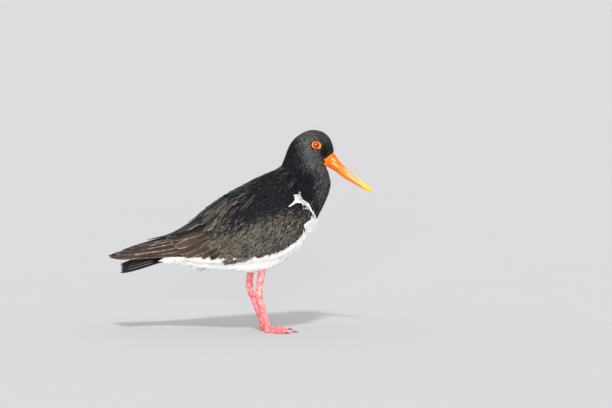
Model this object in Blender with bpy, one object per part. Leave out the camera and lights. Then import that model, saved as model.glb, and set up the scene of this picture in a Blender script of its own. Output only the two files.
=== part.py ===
"""An Australian pied oystercatcher, standing, life size.

The bird faces +X, its right side is -Y, and the floor is z = 0.
Sizes and places are in millimetres, as they lie in the side view, and are made metres where they are used.
"""

import math
from collections import namedtuple

import bpy
import bmesh
from mathutils import Matrix, Vector

MM = 0.001
GAP = 0.3 * MM
SLIVER = 0.004 * MM
RIGHT = -1
LEFT = 1

Section = namedtuple("Section", "top low half")
WingSection = namedtuple("WingSection", "top edge half wrap")
Vane = namedtuple("Vane", "place share heading length width rise")
Station = namedtuple("Station", "x out z deep wide")

# The trunk, neck and head, from the feathers under the tail to the root of the bill.
BODY_SECTIONS = (
    Section((-119, 98), (-121, 94.5), 12),
    Section((-106, 104.5), (-104, 96.5), 16.5),
    Section((-86, 115), (-82, 95.5), 21.5),
    Section((-60, 137), (-48, 88.5), 28),
    Section((-30, 163), (-12, 84.5), 38),
    Section((4, 189), (26, 83.5), 49),
    Section((28, 207), (58, 97), 55),
    Section((45, 217.5), (86, 121), 54),
    Section((54, 224), (104.5, 156), 47),
    Section((58, 232), (118.5, 184), 36.5),
    Section((61.5, 241), (124, 203), 28.5),
    Section((65, 251), (121.5, 218), 24),
    Section((71, 262.5), (118.5, 226), 22.5),
    Section((82, 272.5), (117.5, 228), 21.5),
    Section((96, 278.5), (117, 229.5), 19.5),
    Section((111, 277), (117.2, 230.5), 15),
    Section((122, 269), (117.4, 231), 10.5),
    Section((127, 258), (117.4, 231.4), 8.2),
    Section((129, 248), (117.4, 232), 6.8),
)
BODY_SQUARENESS = 2.3
BODY_SIDES = 20
RINGS_PER_SECTION = 2
NECK_STARTS = 8
HEAD_STARTS = 11
WHITE_BREAST_TOP = 190
WHITE_BREAST_FROM = 78

# The folded right wing's outer face, from its tip to the bend of the wing.
WING_SECTIONS = (
    WingSection((-181, 106), (-181, 104), 6, 90),
    WingSection((-166.3, 112), (-166.3, 103.4), 11, 90),
    WingSection((-145.6, 119.4), (-145.6, 103.3), 16, 90),
    WingSection((-122, 127.4), (-122, 103.5), 21, 90),
    WingSection((-97.3, 134.5), (-97.3, 104.2), 26.5, 92),
    WingSection((-69.7, 151.1), (-67, 102.1), 34.5, 98),
    WingSection((-44.9, 171), (-39.3, 99.8), 42, 107),
    WingSection((-21.4, 187), (-11.7, 100), 49.5, 116),
    WingSection((1, 199), (15.9, 102.1), 55.5, 123),
    WingSection((20, 209), (43.5, 106.3), 59.5, 129),
    WingSection((36, 216), (65.6, 115.9), 60, 134),
    WingSection((48, 221), (83.5, 129.7), 57.5, 138),
    WingSection((56, 227), (98, 157), 51, 142),
)
WING_SQUARENESS = 2.35
WING_PAST_TIP = 15

# The shell that the wing's vanes root in: its ends, and how deep under the outer face it lies.
CORE_FROM = 4.2
CORE_TO = 11.9
CORE_RINGS = 10
CORE_SHARES = 6
CORE_SINK = 0.8
CORE_THICK_REAR = 1.6
CORE_THICK_FRONT = 3.6
CORE_TOP_SHARE = 0.06
CORE_LOW_SHARE = 0.97
CORE_FRONT_SINK = 2.6

VANE_THICK = 0.7
VANE_ROOT_SINK = 1.2
VANE_SIDE_TILT = 0.65
VANE_CROWN = 0.15
VANE_TIP_SHARE = 0.3
LONG_VANE = 70

# The upper face of the tail, from root to tip: how far back it runs, the heights of its ridge and
# of its edges, its half widths, and how late the ridge falls.
TAIL_ENDS = (-90, -167)
TAIL_RIDGE = (109, 91)
TAIL_EDGE = (104.5, 79.5)
TAIL_HALF_WIDTHS = (12, 24)
TAIL_ARCH = 2.2
TAIL_PAIRS = 6
TAIL_VANE_LENGTH = 65
TAIL_OUTER_LONGER = 1.5
TAIL_VANE_WIDTH = 11
TAIL_BASE = (((-84, 112), 12, 5), ((-98, 107.5), 13, 5), ((-114, 104.5), 13, 3.6), ((-128, 101.5), 11, 1.4))
TAIL_BASE_SIDES = 16
TAIL_BASE_ARCH = 6

# The bill: the ridge, the line where its halves meet, the lower keel, and half its width.
BILL_RIDGE = ((118, 247), (129, 246.5), (133.5, 240.5), (141.5, 231), (154, 219.6), (166, 209.6),
              (175.5, 202.4), (182.4, 197.2))
BILL_MEETING = ((112, 239), (118.5, 235.2), (124, 231.8), (133, 226), (145, 217.7), (158, 208.9),
                (169.5, 201.2), (180.2, 194.9))
BILL_KEEL = ((108, 231), (116.5, 229.2), (123.5, 226.3), (132, 221), (144, 212), (155, 205.6),
             (166.5, 199), (178.4, 192.8))
BILL_HALF_WIDTHS = (5.8, 6.4, 5.6, 4.7, 3.9, 3.2, 2.5, 1.5)
BILL_SIDES = 10
BILL_SQUARENESS = 1.9
NOSTRIL = ((127.5, 236.2), (142.5, 223.2))
NOSTRIL_OUT = 4.9
NOSTRIL_RADIUS = 0.8

EYE_CENTRE = (104.2, 258.8)
EYE_OUT = 15.6
EYE_FACING = (0.2, 0.96, 0.16)
EYE_RADIUS = 5.2
EYE_RING_AHEAD = 3.6
EYE_RING_RADIUS = 5.15
EYE_RING_TUBE = 0.85
EYE_RING_SIDES = (16, 5)

# The legs from the body down. Out is the distance from the middle plane.
TIBIA_RIGHT = (Station(30.5, 17.5, 104, 7, 6), Station(29.6, 18, 88, 5.4, 4.8),
               Station(27.6, 18.3, 74, 4.8, 4.1), Station(26, 18.6, 62, 4.8, 4.1),
               Station(25.6, 18.8, 57.3, 5.2, 4.3))
TARSUS_RIGHT = (Station(25.6, 18.8, 56.9, 5.2, 4.3), Station(25.3, 18.9, 52.4, 5.4, 4.4),
                Station(26.9, 19, 47, 4.6, 3.6), Station(28.8, 19.2, 40, 4, 2.9),
                Station(34, 19.6, 22, 3.9, 2.8), Station(37, 19.9, 12, 4.1, 3.2),
                Station(38.2, 20, 7.8, 4.3, 3.6))
TIBIA_LEFT = (Station(16, 17.5, 106, 7, 6), Station(14.4, 18, 90, 5.4, 4.8), Station(13, 18.3, 77, 4.8, 4.1),
              Station(12.1, 18.6, 68, 4.8, 4.1), Station(12, 18.8, 64.5, 5, 4.3))
TARSUS_LEFT = (Station(12, 18.8, 64.1, 5, 4.3), Station(12, 18.9, 60.2, 5.2, 4.4),
               Station(13.2, 19, 55, 4.5, 3.6), Station(15.5, 19.2, 48, 4, 2.9),
               Station(25.2, 19.6, 24, 3.9, 2.8), Station(29.6, 19.9, 12.5, 4.1, 3.2),
               Station(31.2, 20, 8.4, 4.3, 3.6))
LEG_SIDES = 10

# Toes: turned this far inwards from straight ahead, length to the claw, claw length.
TOES = {"inner": (34, 28.5, 6), "middle": (0, 36.5, 7), "outer": (-34, 31.5, 6)}
TOE_HALF_WIDTHS = (3.2, 2.9, 3.1, 2.7, 2.8, 2.2)
TOE_HEIGHTS = (6.4, 5, 4.9, 4.1, 4.2, 3.3)
TOE_SOLE_SHARE = 0.7
TOE_SIDE_HEIGHT = 0.25
TOE_START_BEHIND = 2
PAD_SPREAD = 1.1
WEB_LENGTH = 13
WEB_HEIGHT = 1.8
CLAW_HEIGHT = 2.6
CLAW_HALF_WIDTH = 1.6
CLAW_CLEAR = 0.5
CLAW_RINGS = 4
CLAW_SIDES = 6


def metres(*values):
    return Vector(value * MM for value in values)


def clear_scene():
    for obj in list(bpy.data.objects):
        bpy.data.objects.remove(obj)


def material(name, colour, roughness):
    made = bpy.data.materials.new(name)
    made.use_nodes = True
    shader = made.node_tree.nodes["Principled BSDF"]
    shader.inputs["Base Color"].default_value = (*colour, 1)
    shader.inputs["Roughness"].default_value = roughness
    shader.inputs["Metallic"].default_value = 0
    return made


def solid(name, bm):
    """Puts a mesh under construction into the scene, faces outward and in triangles."""
    bmesh.ops.recalc_face_normals(bm, faces=bm.faces)
    bmesh.ops.triangulate(bm, faces=bm.faces)
    mesh = bpy.data.meshes.new(name)
    bm.to_mesh(mesh)
    bm.free()
    obj = bpy.data.objects.new(name, mesh)
    bpy.context.scene.collection.objects.link(obj)
    return obj


def smooth_between(values, place):
    """The values of a list at a fractional place, on a Catmull-Rom curve through them."""
    last = len(values) - 1
    place = min(max(place, 0), last)
    low = min(int(place), last - 1)
    t = place - low
    before, start, end, after = (values[min(max(low + k, 0), last)] for k in (-1, 0, 1, 2))
    return tuple(
        0.5 * (2 * b + (c - a) * t + (2 * a - 5 * b + 4 * c - d) * t * t + (3 * b - a - 3 * c + d) * t**3)
        for a, b, c, d in zip(before, start, end, after)
    )


def rounded(angle, squareness):
    """How far out and how far up the rim of a superellipse is, at an angle from straight up."""
    power = 2 / squareness
    out, up = math.sin(angle), math.cos(angle)
    return math.copysign(abs(out) ** power, out), math.copysign(abs(up) ** power, up)


def extrude_ring(bm, ring, corners):
    """Grows a tube by one ring of corners."""
    edges = [bm.edges.get(pair) for pair in zip(ring, ring[1:] + ring[:1])]
    made = bmesh.ops.extrude_edge_only(bm, edges=edges)["geom"]
    new = {v for v in made if isinstance(v, bmesh.types.BMVert)}
    grown = [next(e.other_vert(v) for e in v.link_edges if e.other_vert(v) in new) for v in ring]
    for vertex, corner in zip(grown, corners):
        vertex.co = corner
    return grown


def lofted(name, rings):
    """A closed solid through rings of corners, with flat ends."""
    bm = bmesh.new()
    first = bmesh.ops.create_circle(bm, segments=len(rings[0]), radius=1)["verts"]
    for vertex, corner in zip(first, rings[0]):
        vertex.co = corner
    ring = first
    for corners in rings[1:]:
        ring = extrude_ring(bm, ring, corners)
    for end in (first, ring):
        rim = [bm.edges.get(pair) for pair in zip(end, end[1:] + end[:1])]
        bmesh.ops.edgeloop_fill(bm, edges=rim)
    return solid(name, bm)


def combine(obj, operation, others):
    """Joins an object with others, or cuts it with them, and removes the others."""
    group = bpy.data.collections.new(obj.name + "_pieces")
    bpy.context.scene.collection.children.link(group)
    for other in others:
        group.objects.link(other)
    boolean = obj.modifiers.new("combine", "BOOLEAN")
    boolean.operation = operation
    boolean.operand_type = "COLLECTION"
    boolean.collection = group
    boolean.solver = "MANIFOLD"
    bpy.context.view_layer.update()
    graph = bpy.context.evaluated_depsgraph_get()
    made = bpy.data.meshes.new_from_object(obj.evaluated_get(graph))
    obj.modifiers.clear()
    obj.data = made
    for other in others:
        bpy.data.objects.remove(other)
    bpy.data.collections.remove(group)


def volume_of(faces):
    """The signed volume that a closed set of triangles holds."""
    return sum(f.verts[0].co.dot(f.verts[1].co.cross(f.verts[2].co)) for f in faces) / 6


def keep_largest(obj):
    """Leaves only the closed surface of an object that holds the most, without slivers."""
    bm = bmesh.new()
    bm.from_mesh(obj.data)
    bmesh.ops.dissolve_degenerate(bm, dist=SLIVER, edges=bm.edges)
    bmesh.ops.triangulate(bm, faces=bm.faces)
    left, shells = set(bm.faces), []
    while left:
        shell, waiting = set(), [left.pop()]
        while waiting:
            face = waiting.pop()
            shell.add(face)
            near = {f for e in face.edges for f in e.link_faces} & left
            left -= near
            waiting.extend(near)
        shells.append(shell)
    shells.sort(key=volume_of, reverse=True)
    for shell in shells[1:]:
        bmesh.ops.delete(bm, geom=list(shell), context="FACES")
    bm.to_mesh(obj.data)
    bm.free()


def mirrored(name, obj):
    """The same solid on the other side of the bird."""
    bm = bmesh.new()
    bm.from_mesh(obj.data)
    bmesh.ops.transform(bm, matrix=Matrix.Diagonal((1, -1, 1, 1)), verts=bm.verts)
    bmesh.ops.reverse_faces(bm, faces=bm.faces)
    return solid(name, bm)


def shade(obj, look):
    obj.data.materials.clear()
    obj.data.materials.append(look)


def box(name, middle, size):
    bm = bmesh.new()
    bmesh.ops.create_cube(bm, size=1, matrix=Matrix.Translation(middle) @ Matrix.Diagonal((*size, 1)))
    return solid(name, bm)


def body_ring(place, grow=0.0, forward=0.0):
    """The corners of the body's section at a place, made larger by grow and moved forward."""
    table = [(*s.top, *s.low, s.half) for s in BODY_SECTIONS]
    top_x, top_z, low_x, low_z, half = smooth_between(table, place)
    top, low = metres(top_x, 0, top_z), metres(low_x, 0, low_z)
    middle, up = (top + low) / 2, (top - low) / 2
    tall = up.length + grow
    up.normalize()
    middle += Vector((up.z, 0, -up.x)) * forward
    corners = []
    for side in range(BODY_SIDES):
        out, high = rounded(2 * math.pi * side / BODY_SIDES, BODY_SQUARENESS)
        corners.append(middle + up * tall * high + Vector((0, (half * MM + grow) * out, 0)))
    return corners


def body_piece(name, start, end, grow=0.0):
    """The part of the body between two places, half a gap short where another part follows."""
    steps = (end - start) * RINGS_PER_SECTION
    rings = []
    for step in range(steps + 1):
        forward = 0.0
        if step == 0 and start > 0:
            forward = GAP / 2
        if step == steps and end < len(BODY_SECTIONS) - 1:
            forward = -GAP / 2
        rings.append(body_ring(start + step / RINGS_PER_SECTION, grow, forward))
    return lofted(name, rings)


def body_room():
    """The room that other parts leave round the trunk, neck and head."""
    return body_piece("room", 0, len(BODY_SECTIONS) - 1, 1.5 * GAP)


def wing_edge_height(x):
    """The height of the wing's lower edge above the floor at a distance forward."""
    edges = [section.edge for section in WING_SECTIONS]
    for (x0, z0), (x1, z1) in zip(edges, edges[1:]):
        if x <= x1:
            return z0 + (z1 - z0) * (x - x0) / (x1 - x0)
    return edges[-1][1]


def torso(black, white):
    """The trunk: black over the back, white below the wings and on the breast before them."""
    obj = body_piece("torso", 0, NECK_STARTS)
    obj.data.materials.append(white)
    obj.data.materials.append(black)
    for face in obj.data.polygons:
        x, _, z = (value / MM for value in face.center)
        breast = x > WHITE_BREAST_FROM and z < WHITE_BREAST_TOP
        face.material_index = int(z > wing_edge_height(x) and not breast)
    return obj


def wing_point(place, share, lift=0.0):
    """A point of the right wing's outer face: place runs from its tip, share from its top edge."""
    table = [(*s.top, *s.edge, s.half, s.wrap) for s in WING_SECTIONS]
    top_x, top_z, edge_x, edge_z, half, wrap = smooth_between(table, place)
    past = min(place, 0) * WING_PAST_TIP
    top, edge = metres(top_x + past, 0, top_z), metres(edge_x + past, 0, edge_z)
    _, turned = rounded(math.radians(wrap), WING_SQUARENESS)
    up = (top - edge) / (1 - turned)
    out, high = rounded(math.radians(wrap) * share, WING_SQUARENESS)
    rise = up.normalized() * (up.length + lift) * high
    return top - up + rise + Vector((0, -(half * MM + lift) * out, 0))


def tail_point(place, share, lift=0.0):
    """A point of the tail's upper face: place runs from its tip, share from its middle outwards."""
    from_root = 1 - place
    ends = (TAIL_ENDS, TAIL_EDGE, TAIL_HALF_WIDTHS)
    x, edge, half = (root + (tip - root) * from_root for root, tip in ends)
    ridge = TAIL_RIDGE[0] + (TAIL_RIDGE[1] - TAIL_RIDGE[0]) * from_root**TAIL_ARCH
    return metres(x, -half * share, ridge + (edge - ridge) * share * abs(share)) + Vector((0, 0, lift))


def slopes(surface, place, share):
    """How a surface point moves for each unit of place and of share."""
    step = 0.02
    along = (surface(place + step, share) - surface(place - step, share)) / (2 * step)
    down = (surface(place, share + step) - surface(place, share - step)) / (2 * step)
    return along, down


def slide(surface, place, share, move):
    """Where a small move along a surface leads from a place and share."""
    along, down = slopes(surface, place, share)
    aa, ad, dd = along.dot(along), along.dot(down), down.dot(down)
    ma, md = move.dot(along), move.dot(down)
    scale = aa * dd - ad * ad
    return place + (ma * dd - md * ad) / scale, share + (md * aa - ma * ad) / scale


def quill(surface, kind, steps):
    """The places, shares and crosswise directions along the middle of one feather."""
    place, share = kind.place, kind.share
    heading = math.radians(kind.heading)
    path = []
    for _ in range(steps + 1):
        along, down = slopes(surface, place, share)
        back = -along.normalized()
        down = (down - back * down.dot(back)).normalized()
        path.append((place, share, down * math.cos(heading) - back * math.sin(heading)))
        ahead = back * math.cos(heading) + down * math.sin(heading)
        place, share = slide(surface, place, share, ahead * kind.length * MM / steps)
    return path


def breadth(along):
    """How wide a feather is for its full width, from root (0) to tip (1)."""
    if along < 0.6:
        return min(1, 0.55 + 1.6 * along)
    return 1 - (1 - VANE_TIP_SHARE) * ((along - 0.6) / 0.4) ** 2


def vane(surface, kind):
    """One feather: a thin blade that starts under a surface and ends above it."""
    spans, strips = (4, 2) if kind.length > LONG_VANE else (3, 1)
    path = quill(surface, kind, 2 * spans)
    bm = bmesh.new()
    grid = bmesh.ops.create_grid(bm, x_segments=strips, y_segments=spans, size=1)["verts"]
    bmesh.ops.triangulate(bm, faces=bm.faces)
    for vertex in grid:
        side, along = round(vertex.co.x), (vertex.co.y + 1) / 2
        place, share, across = path[round(along * 2 * spans)]
        move = across * (side * kind.width * MM / 2 * breadth(along))
        place, share = slide(surface, place, share, move)
        lift = (VANE_ROOT_SINK + kind.rise) * along - VANE_ROOT_SINK + VANE_SIDE_TILT * side
        if side == 0:
            lift += VANE_CROWN
        vertex.co = surface(place, share, lift * MM)
    bmesh.ops.recalc_face_normals(bm, faces=bm.faces)
    bmesh.ops.solidify(bm, geom=bm.faces, thickness=VANE_THICK * MM)
    return solid("vane", bm)


def tier(count, start, end, heading, length, width, rise):
    """Feathers spaced evenly from one (place, share) to another; each value runs from first to last."""
    found = []
    for k in range(count):
        t = k / (count - 1)
        place, share = (a + (b - a) * t for a, b in zip(start, end))
        values = [a + (b - a) * t for a, b in (heading, length, width, rise)]
        found.append(Vane(place, share, *values))
    return found


def wing_vanes():
    """The tiers of the folded wing, from the flight feathers forward."""
    primaries = tier(6, (4.8, 0.24), (5.0, 0.76), (0, 0), (72, 127), (12, 10), (0.2, 1.4))
    secondaries = tier(5, (5.6, 0.52), (6.6, 0.85), (4, 8), (48, 66), (15, 15), (0.6, 1.6))
    tertials = tier(4, (7.2, 0.09), (6.8, 0.4), (1, 3), (124, 66), (17, 17), (1.4, 2.2))
    greater = tier(6, (7.0, 0.46), (8.3, 0.88), (20, 2), (40, 36), (16, 16), (1.8, 1.8))
    median = tier(5, (8.2, 0.47), (9.5, 0.87), (26, 2), (32, 28), (17, 17), (2.0, 2.0))
    lesser_rear = tier(5, (9.2, 0.49), (10.6, 0.86), (28, 2), (28, 24), (17, 17), (2.1, 2.1))
    lesser_front = tier(4, (10.3, 0.55), (11.5, 0.84), (28, 2), (26, 22), (17, 16), (2.1, 2.1))
    scapulars_rear = tier(4, (8.0, 0.08), (8.3, 0.4), (2, 10), (42, 36), (18, 18), (2.2, 2.4))
    scapulars_mid = tier(4, (9.3, 0.09), (9.6, 0.42), (3, 14), (38, 32), (19, 19), (2.4, 2.4))
    scapulars_front = tier(4, (10.6, 0.12), (10.8, 0.47), (4, 18), (34, 28), (20, 19), (2.4, 2.4))
    return (primaries + secondaries + tertials + greater + median + lesser_rear + lesser_front
            + scapulars_rear + scapulars_mid + scapulars_front)


def wing_core(name):
    """The flesh of the folded wing, a shell that the vanes root in, bare over the shoulders."""
    rings = []
    for k in range(CORE_RINGS + 1):
        place = CORE_FROM + (CORE_TO - CORE_FROM) * k / CORE_RINGS
        first = CORE_TOP_SHARE + 0.5 * max(0, (place - 8.5) / 3.5) ** 1.5
        grown = min(1, (place - CORE_FROM) / 3)
        thick = CORE_THICK_REAR + (CORE_THICK_FRONT - CORE_THICK_REAR) * grown
        shares = [first + (CORE_LOW_SHARE - first) * n / CORE_SHARES for n in range(CORE_SHARES + 1)]
        sink = CORE_SINK + (CORE_FRONT_SINK if k == CORE_RINGS else 0)
        outer = [wing_point(place, share, -sink * MM) for share in shares]
        inner = [wing_point(place, share, -(sink + thick) * MM) for share in reversed(shares)]
        rings.append(outer + inner)
    return lofted(name, rings)


def middle_room():
    """A thin upright slab that keeps the two wings apart over the back."""
    return box("room", metres(-20, GAP / MM, 150), metres(400, 2 * GAP / MM, 300))


def wing(name):
    obj = wing_core(name)
    combine(obj, "UNION", [vane(wing_point, kind) for kind in wing_vanes()])
    combine(obj, "DIFFERENCE", [body_room(), middle_room()])
    keep_largest(obj)
    return obj


def tail_vanes():
    """The right half of the tail's feathers, the middle one on top."""
    found = []
    for pair in range(TAIL_PAIRS):
        out = pair / (TAIL_PAIRS - 1)
        length = TAIL_VANE_LENGTH + TAIL_OUTER_LONGER * out**2
        found.append(Vane(0.84, 0.14 + 0.72 * out, 0, length, TAIL_VANE_WIDTH, 1.2 - 2 * out))
    return found


def tail(name):
    """The base of the tail with its feathers in it, fitted over the trunk."""
    rings = []
    for (x, z), half, thick in TAIL_BASE:
        ring = []
        for side in range(TAIL_BASE_SIDES):
            out, high = rounded(2 * math.pi * side / TAIL_BASE_SIDES, 2.2)
            ring.append(metres(x, half * out, z + thick * high - TAIL_BASE_ARCH * out * out))
        rings.append(ring)
    obj = lofted(name, rings)
    right = [vane(tail_point, kind) for kind in tail_vanes()]
    left = [mirrored("vane", one) for one in right]
    combine(obj, "UNION", right + left)
    combine(obj, "DIFFERENCE", [body_room()])
    keep_largest(obj)
    return obj


def mandible(name, far_line, grow=0.0):
    """One half of the bill, arched from the line where the halves meet to its ridge or keel."""
    table = [(*far, *near, half) for far, near, half in zip(far_line, BILL_MEETING, BILL_HALF_WIDTHS)]
    rings = []
    for step in range(2 * len(table) - 1):
        far_x, far_z, near_x, near_z, half = smooth_between(table, step / 2)
        far, near = metres(far_x, 0, far_z), metres(near_x, 0, near_z)
        up = (far - near).normalized()
        tall = (far - near).length + 2 * grow
        near += up * (GAP / 2 - grow)
        if step == 0:
            near -= Vector((abs(up.z), 0, -abs(up.x))) * grow
        ring = [near]
        for side in range(BILL_SIDES + 1):
            out, high = rounded(math.pi * (side / BILL_SIDES - 0.5), BILL_SQUARENESS)
            ring.append(near + up * tall * high + Vector((0, (half * MM + grow) * out, 0)))
        rings.append(ring)
    return lofted(name, rings)


def nostril(side):
    """The slit of a nostril as a thin rod along the side of the bill."""
    ends = [metres(x, side * NOSTRIL_OUT, z) for x, z in NOSTRIL]
    along = ends[1] - ends[0]
    turn = along.to_track_quat("Z", "Y").to_matrix().to_4x4()
    bm = bmesh.new()
    bmesh.ops.create_cone(bm, cap_ends=True, segments=6, radius1=NOSTRIL_RADIUS * MM,
                          radius2=NOSTRIL_RADIUS * MM / 2, depth=along.length,
                          matrix=Matrix.Translation((ends[0] + ends[1]) / 2) @ turn)
    return solid("room", bm)


def limb(name, stations, side, grow=0.0):
    """A round limb through stations, made larger by grow."""
    points = [metres(s.x, side * s.out, s.z) for s in stations]
    last = len(points) - 1
    across = Vector((0, 1, 0))
    rings = []
    for k, (point, station) in enumerate(zip(points, stations)):
        ahead = (points[min(k + 1, last)] - points[max(k - 1, 0)]).normalized()
        fore = ahead.cross(across).normalized()
        middle = point + ahead * grow * {0: -1, last: 1}.get(k, 0)
        ring = []
        for corner in range(LEG_SIDES):
            angle = 2 * math.pi * corner / LEG_SIDES
            ring.append(middle + fore * (station.deep * MM + grow) * math.sin(angle)
                        + across * (station.wide * MM + grow) * math.cos(angle))
        rings.append(ring)
    return lofted(name, rings)


def tibia(name, stations, side):
    obj = limb(name, stations, side)
    combine(obj, "DIFFERENCE", [body_room()])
    keep_largest(obj)
    return obj


def toe(start, heading, length):
    """One toe lying flat on the floor."""
    ahead = Vector((math.cos(heading), math.sin(heading), 0))
    across = Vector((-ahead.y, ahead.x, 0))
    last = len(TOE_HEIGHTS) - 1
    rings = []
    for k, (half, height) in enumerate(zip(TOE_HALF_WIDTHS, TOE_HEIGHTS)):
        at = start + ahead * (length * MM * k / last)
        sole = across * half * TOE_SOLE_SHARE * MM
        ring = [at + sole, at - sole]
        for side in range(7):
            out, high = rounded(math.pi * (side / 6 - 0.5), 2)
            level = height * (TOE_SIDE_HEIGHT + (1 - TOE_SIDE_HEIGHT) * high)
            ring.append(at + across * half * out * MM + metres(0, 0, level))
        rings.append(ring)
    return lofted("toe", rings)


def claw(name, start, heading, length):
    """A claw that starts a gap ahead of its toe and curves down to just above the floor."""
    ahead = Vector((math.cos(heading), math.sin(heading), 0))
    across = Vector((-ahead.y, ahead.x, 0))
    rings = []
    for k in range(CLAW_RINGS + 1):
        t = k / CLAW_RINGS
        size = 0.2 + 0.8 * (1 - t) ** 0.7
        at = start + ahead * length * MM * t + metres(0, 0, CLAW_CLEAR + CLAW_HEIGHT / 2 * (1 - t * t))
        ring = []
        for corner in range(CLAW_SIDES):
            angle = 2 * math.pi * corner / CLAW_SIDES
            ring.append(at + across * CLAW_HALF_WIDTH * size * math.sin(angle) * MM
                        + metres(0, 0, 0.42 * CLAW_HEIGHT * size * math.cos(angle)))
        rings.append(ring)
    return lofted(name, rings)


def pad(name, joint, side):
    """The flat pad under the leg."""
    stations = (
        Station(joint.x - 1.2, joint.out, 0, joint.deep * PAD_SPREAD, joint.wide * PAD_SPREAD),
        Station(joint.x - 0.7, joint.out, joint.z / 2, joint.deep * PAD_SPREAD, joint.wide * PAD_SPREAD),
        Station(joint.x + 0.1, joint.out, joint.z - 0.3, joint.deep, joint.wide),
    )
    obj = limb(name, stations, side)
    for vertex in obj.data.vertices:
        if vertex.index < LEG_SIDES:
            vertex.co.z = 0
    return obj


def web(start, side):
    """The low web between the middle and outer toes."""
    turn, length, _ = TOES["outer"]
    heading = math.radians(turn) * -side
    corners = [start, start + metres(length / 2, 0, 0),
               start + Vector((math.cos(heading), math.sin(heading), 0)) * WEB_LENGTH * MM]
    return lofted("web", [corners, [corner + metres(0, 0, WEB_HEIGHT) for corner in corners]])


def foot(side_name, side, tarsus, look, claw_look):
    """The foot of one side: a pad under the leg, three toes, the web between two, and the claws."""
    joint = tarsus[-1]
    obj = pad("foot_" + side_name, joint, side)
    start = metres(joint.x - TOE_START_BEHIND, side * joint.out, 0)
    pieces = [web(start, side)]
    for toe_name, (turn, length, claw_length) in TOES.items():
        heading = math.radians(turn) * -side
        pieces.append(toe(start, heading, length))
        ahead = Vector((math.cos(heading), math.sin(heading), 0))
        tip = start + ahead * (length * MM + GAP)
        shade(claw(f"claw_{side_name}_{toe_name}", tip, heading, claw_length), claw_look)
    combine(obj, "UNION", pieces)
    combine(obj, "DIFFERENCE", [limb("room", tarsus, side, GAP)])
    keep_largest(obj)
    shade(obj, look)


def ball(name, middle, radius, grow=0.0):
    bm = bmesh.new()
    bmesh.ops.create_uvsphere(bm, u_segments=14, v_segments=8, radius=radius * MM + grow,
                              matrix=Matrix.Translation(middle))
    return solid(name, bm)


def hoop(name, middle, facing, grow=0.0):
    """The ring round an eye."""
    sides, around = EYE_RING_SIDES
    tube = EYE_RING_TUBE * MM + grow
    turn = facing.to_track_quat("Z", "Y").to_matrix().to_4x4()
    place = Matrix.Translation(middle) @ turn
    at_rim = Matrix.Translation((EYE_RING_RADIUS * MM, 0, 0)) @ Matrix.Rotation(math.pi / 2, 4, "X")
    bm = bmesh.new()
    rim = bmesh.ops.create_circle(bm, segments=around, radius=tube, matrix=place @ at_rim)["verts"]
    edges = {edge for vertex in rim for edge in vertex.link_edges}
    bmesh.ops.spin(bm, geom=rim + list(edges), cent=middle, axis=facing, angle=2 * math.pi, steps=sides,
                   use_merge=True)
    return solid(name, bm)


def eye(side_name, side, head, look, ring_look):
    """An eye and the fleshy ring round it, let into the head."""
    middle = metres(EYE_CENTRE[0], side * EYE_OUT, EYE_CENTRE[1])
    facing = Vector((EYE_FACING[0], side * EYE_FACING[1], EYE_FACING[2])).normalized()
    ring_middle = middle + facing * EYE_RING_AHEAD * MM
    combine(head, "DIFFERENCE", [ball("room", middle, EYE_RADIUS, GAP)])
    combine(head, "DIFFERENCE", [hoop("room", ring_middle, facing, GAP)])
    obj = ball("eye_" + side_name, middle, EYE_RADIUS)
    combine(obj, "DIFFERENCE", [hoop("room", ring_middle, facing, GAP)])
    keep_largest(obj)
    shade(obj, look)
    shade(hoop("eye_ring_" + side_name, ring_middle, facing), ring_look)


def head_and_face(black):
    """The head with its bill and eyes let into it."""
    head = body_piece("head", HEAD_STARTS, len(BODY_SECTIONS) - 1)
    orange = material("orange_bill", (0.9, 0.2, 0.03), 0.35)
    red = material("red_iris", (0.75, 0.03, 0.02), 0.1)
    ring_look = material("orange_eye_ring", (0.9, 0.25, 0.04), 0.5)
    for name, line in (("bill_upper", BILL_RIDGE), ("bill_lower", BILL_KEEL)):
        combine(head, "DIFFERENCE", [mandible("room", line, GAP)])
        shade(mandible(name, line), orange)
    combine(bpy.data.objects["bill_upper"], "DIFFERENCE", [nostril(RIGHT), nostril(LEFT)])
    eye("right", RIGHT, head, red, ring_look)
    eye("left", LEFT, head, red, ring_look)
    keep_largest(head)
    shade(head, black)


def legs():
    pink = material("pink_skin", (0.85, 0.4, 0.4), 0.5)
    horn = material("dark_horn", (0.05, 0.04, 0.04), 0.4)
    for name, side, upper, lower in (("right", RIGHT, TIBIA_RIGHT, TARSUS_RIGHT),
                                     ("left", LEFT, TIBIA_LEFT, TARSUS_LEFT)):
        shade(tibia("tibia_" + name, upper, side), pink)
        shade(limb("tarsus_" + name, lower, side), pink)
        foot(name, side, lower, pink, horn)


def centre_on_floor():
    """Moves the bird along so that the middle of its length is over the origin."""
    meshes = [obj.data for obj in bpy.data.objects]
    reach = [vertex.co.x for mesh in meshes for vertex in mesh.vertices]
    shift = Matrix.Translation((-(min(reach) + max(reach)) / 2, 0, 0))
    for mesh in meshes:
        mesh.transform(shift)


def main():
    clear_scene()
    black = material("black_plumage", (0.02, 0.019, 0.018), 0.55)
    white = material("white_plumage", (0.8, 0.79, 0.76), 0.7)
    brown = material("brown_black_plumage", (0.045, 0.036, 0.03), 0.6)
    torso(black, white)
    shade(body_piece("neck", NECK_STARTS, HEAD_STARTS), black)
    head_and_face(black)
    right = wing("wing_right")
    shade(right, brown)
    shade(mirrored("wing_left", right), brown)
    shade(tail("tail"), black)
    legs()
    centre_on_floor()


main()
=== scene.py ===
"""The looks of a standing pied oystercatcher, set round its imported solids.

The bird faces +X, its right side is -Y, and the floor is z = 0.
Tables hold millimetres, as they lie in the side view, and are made metres where they are used.
"""

import math
from collections import namedtuple

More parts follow.
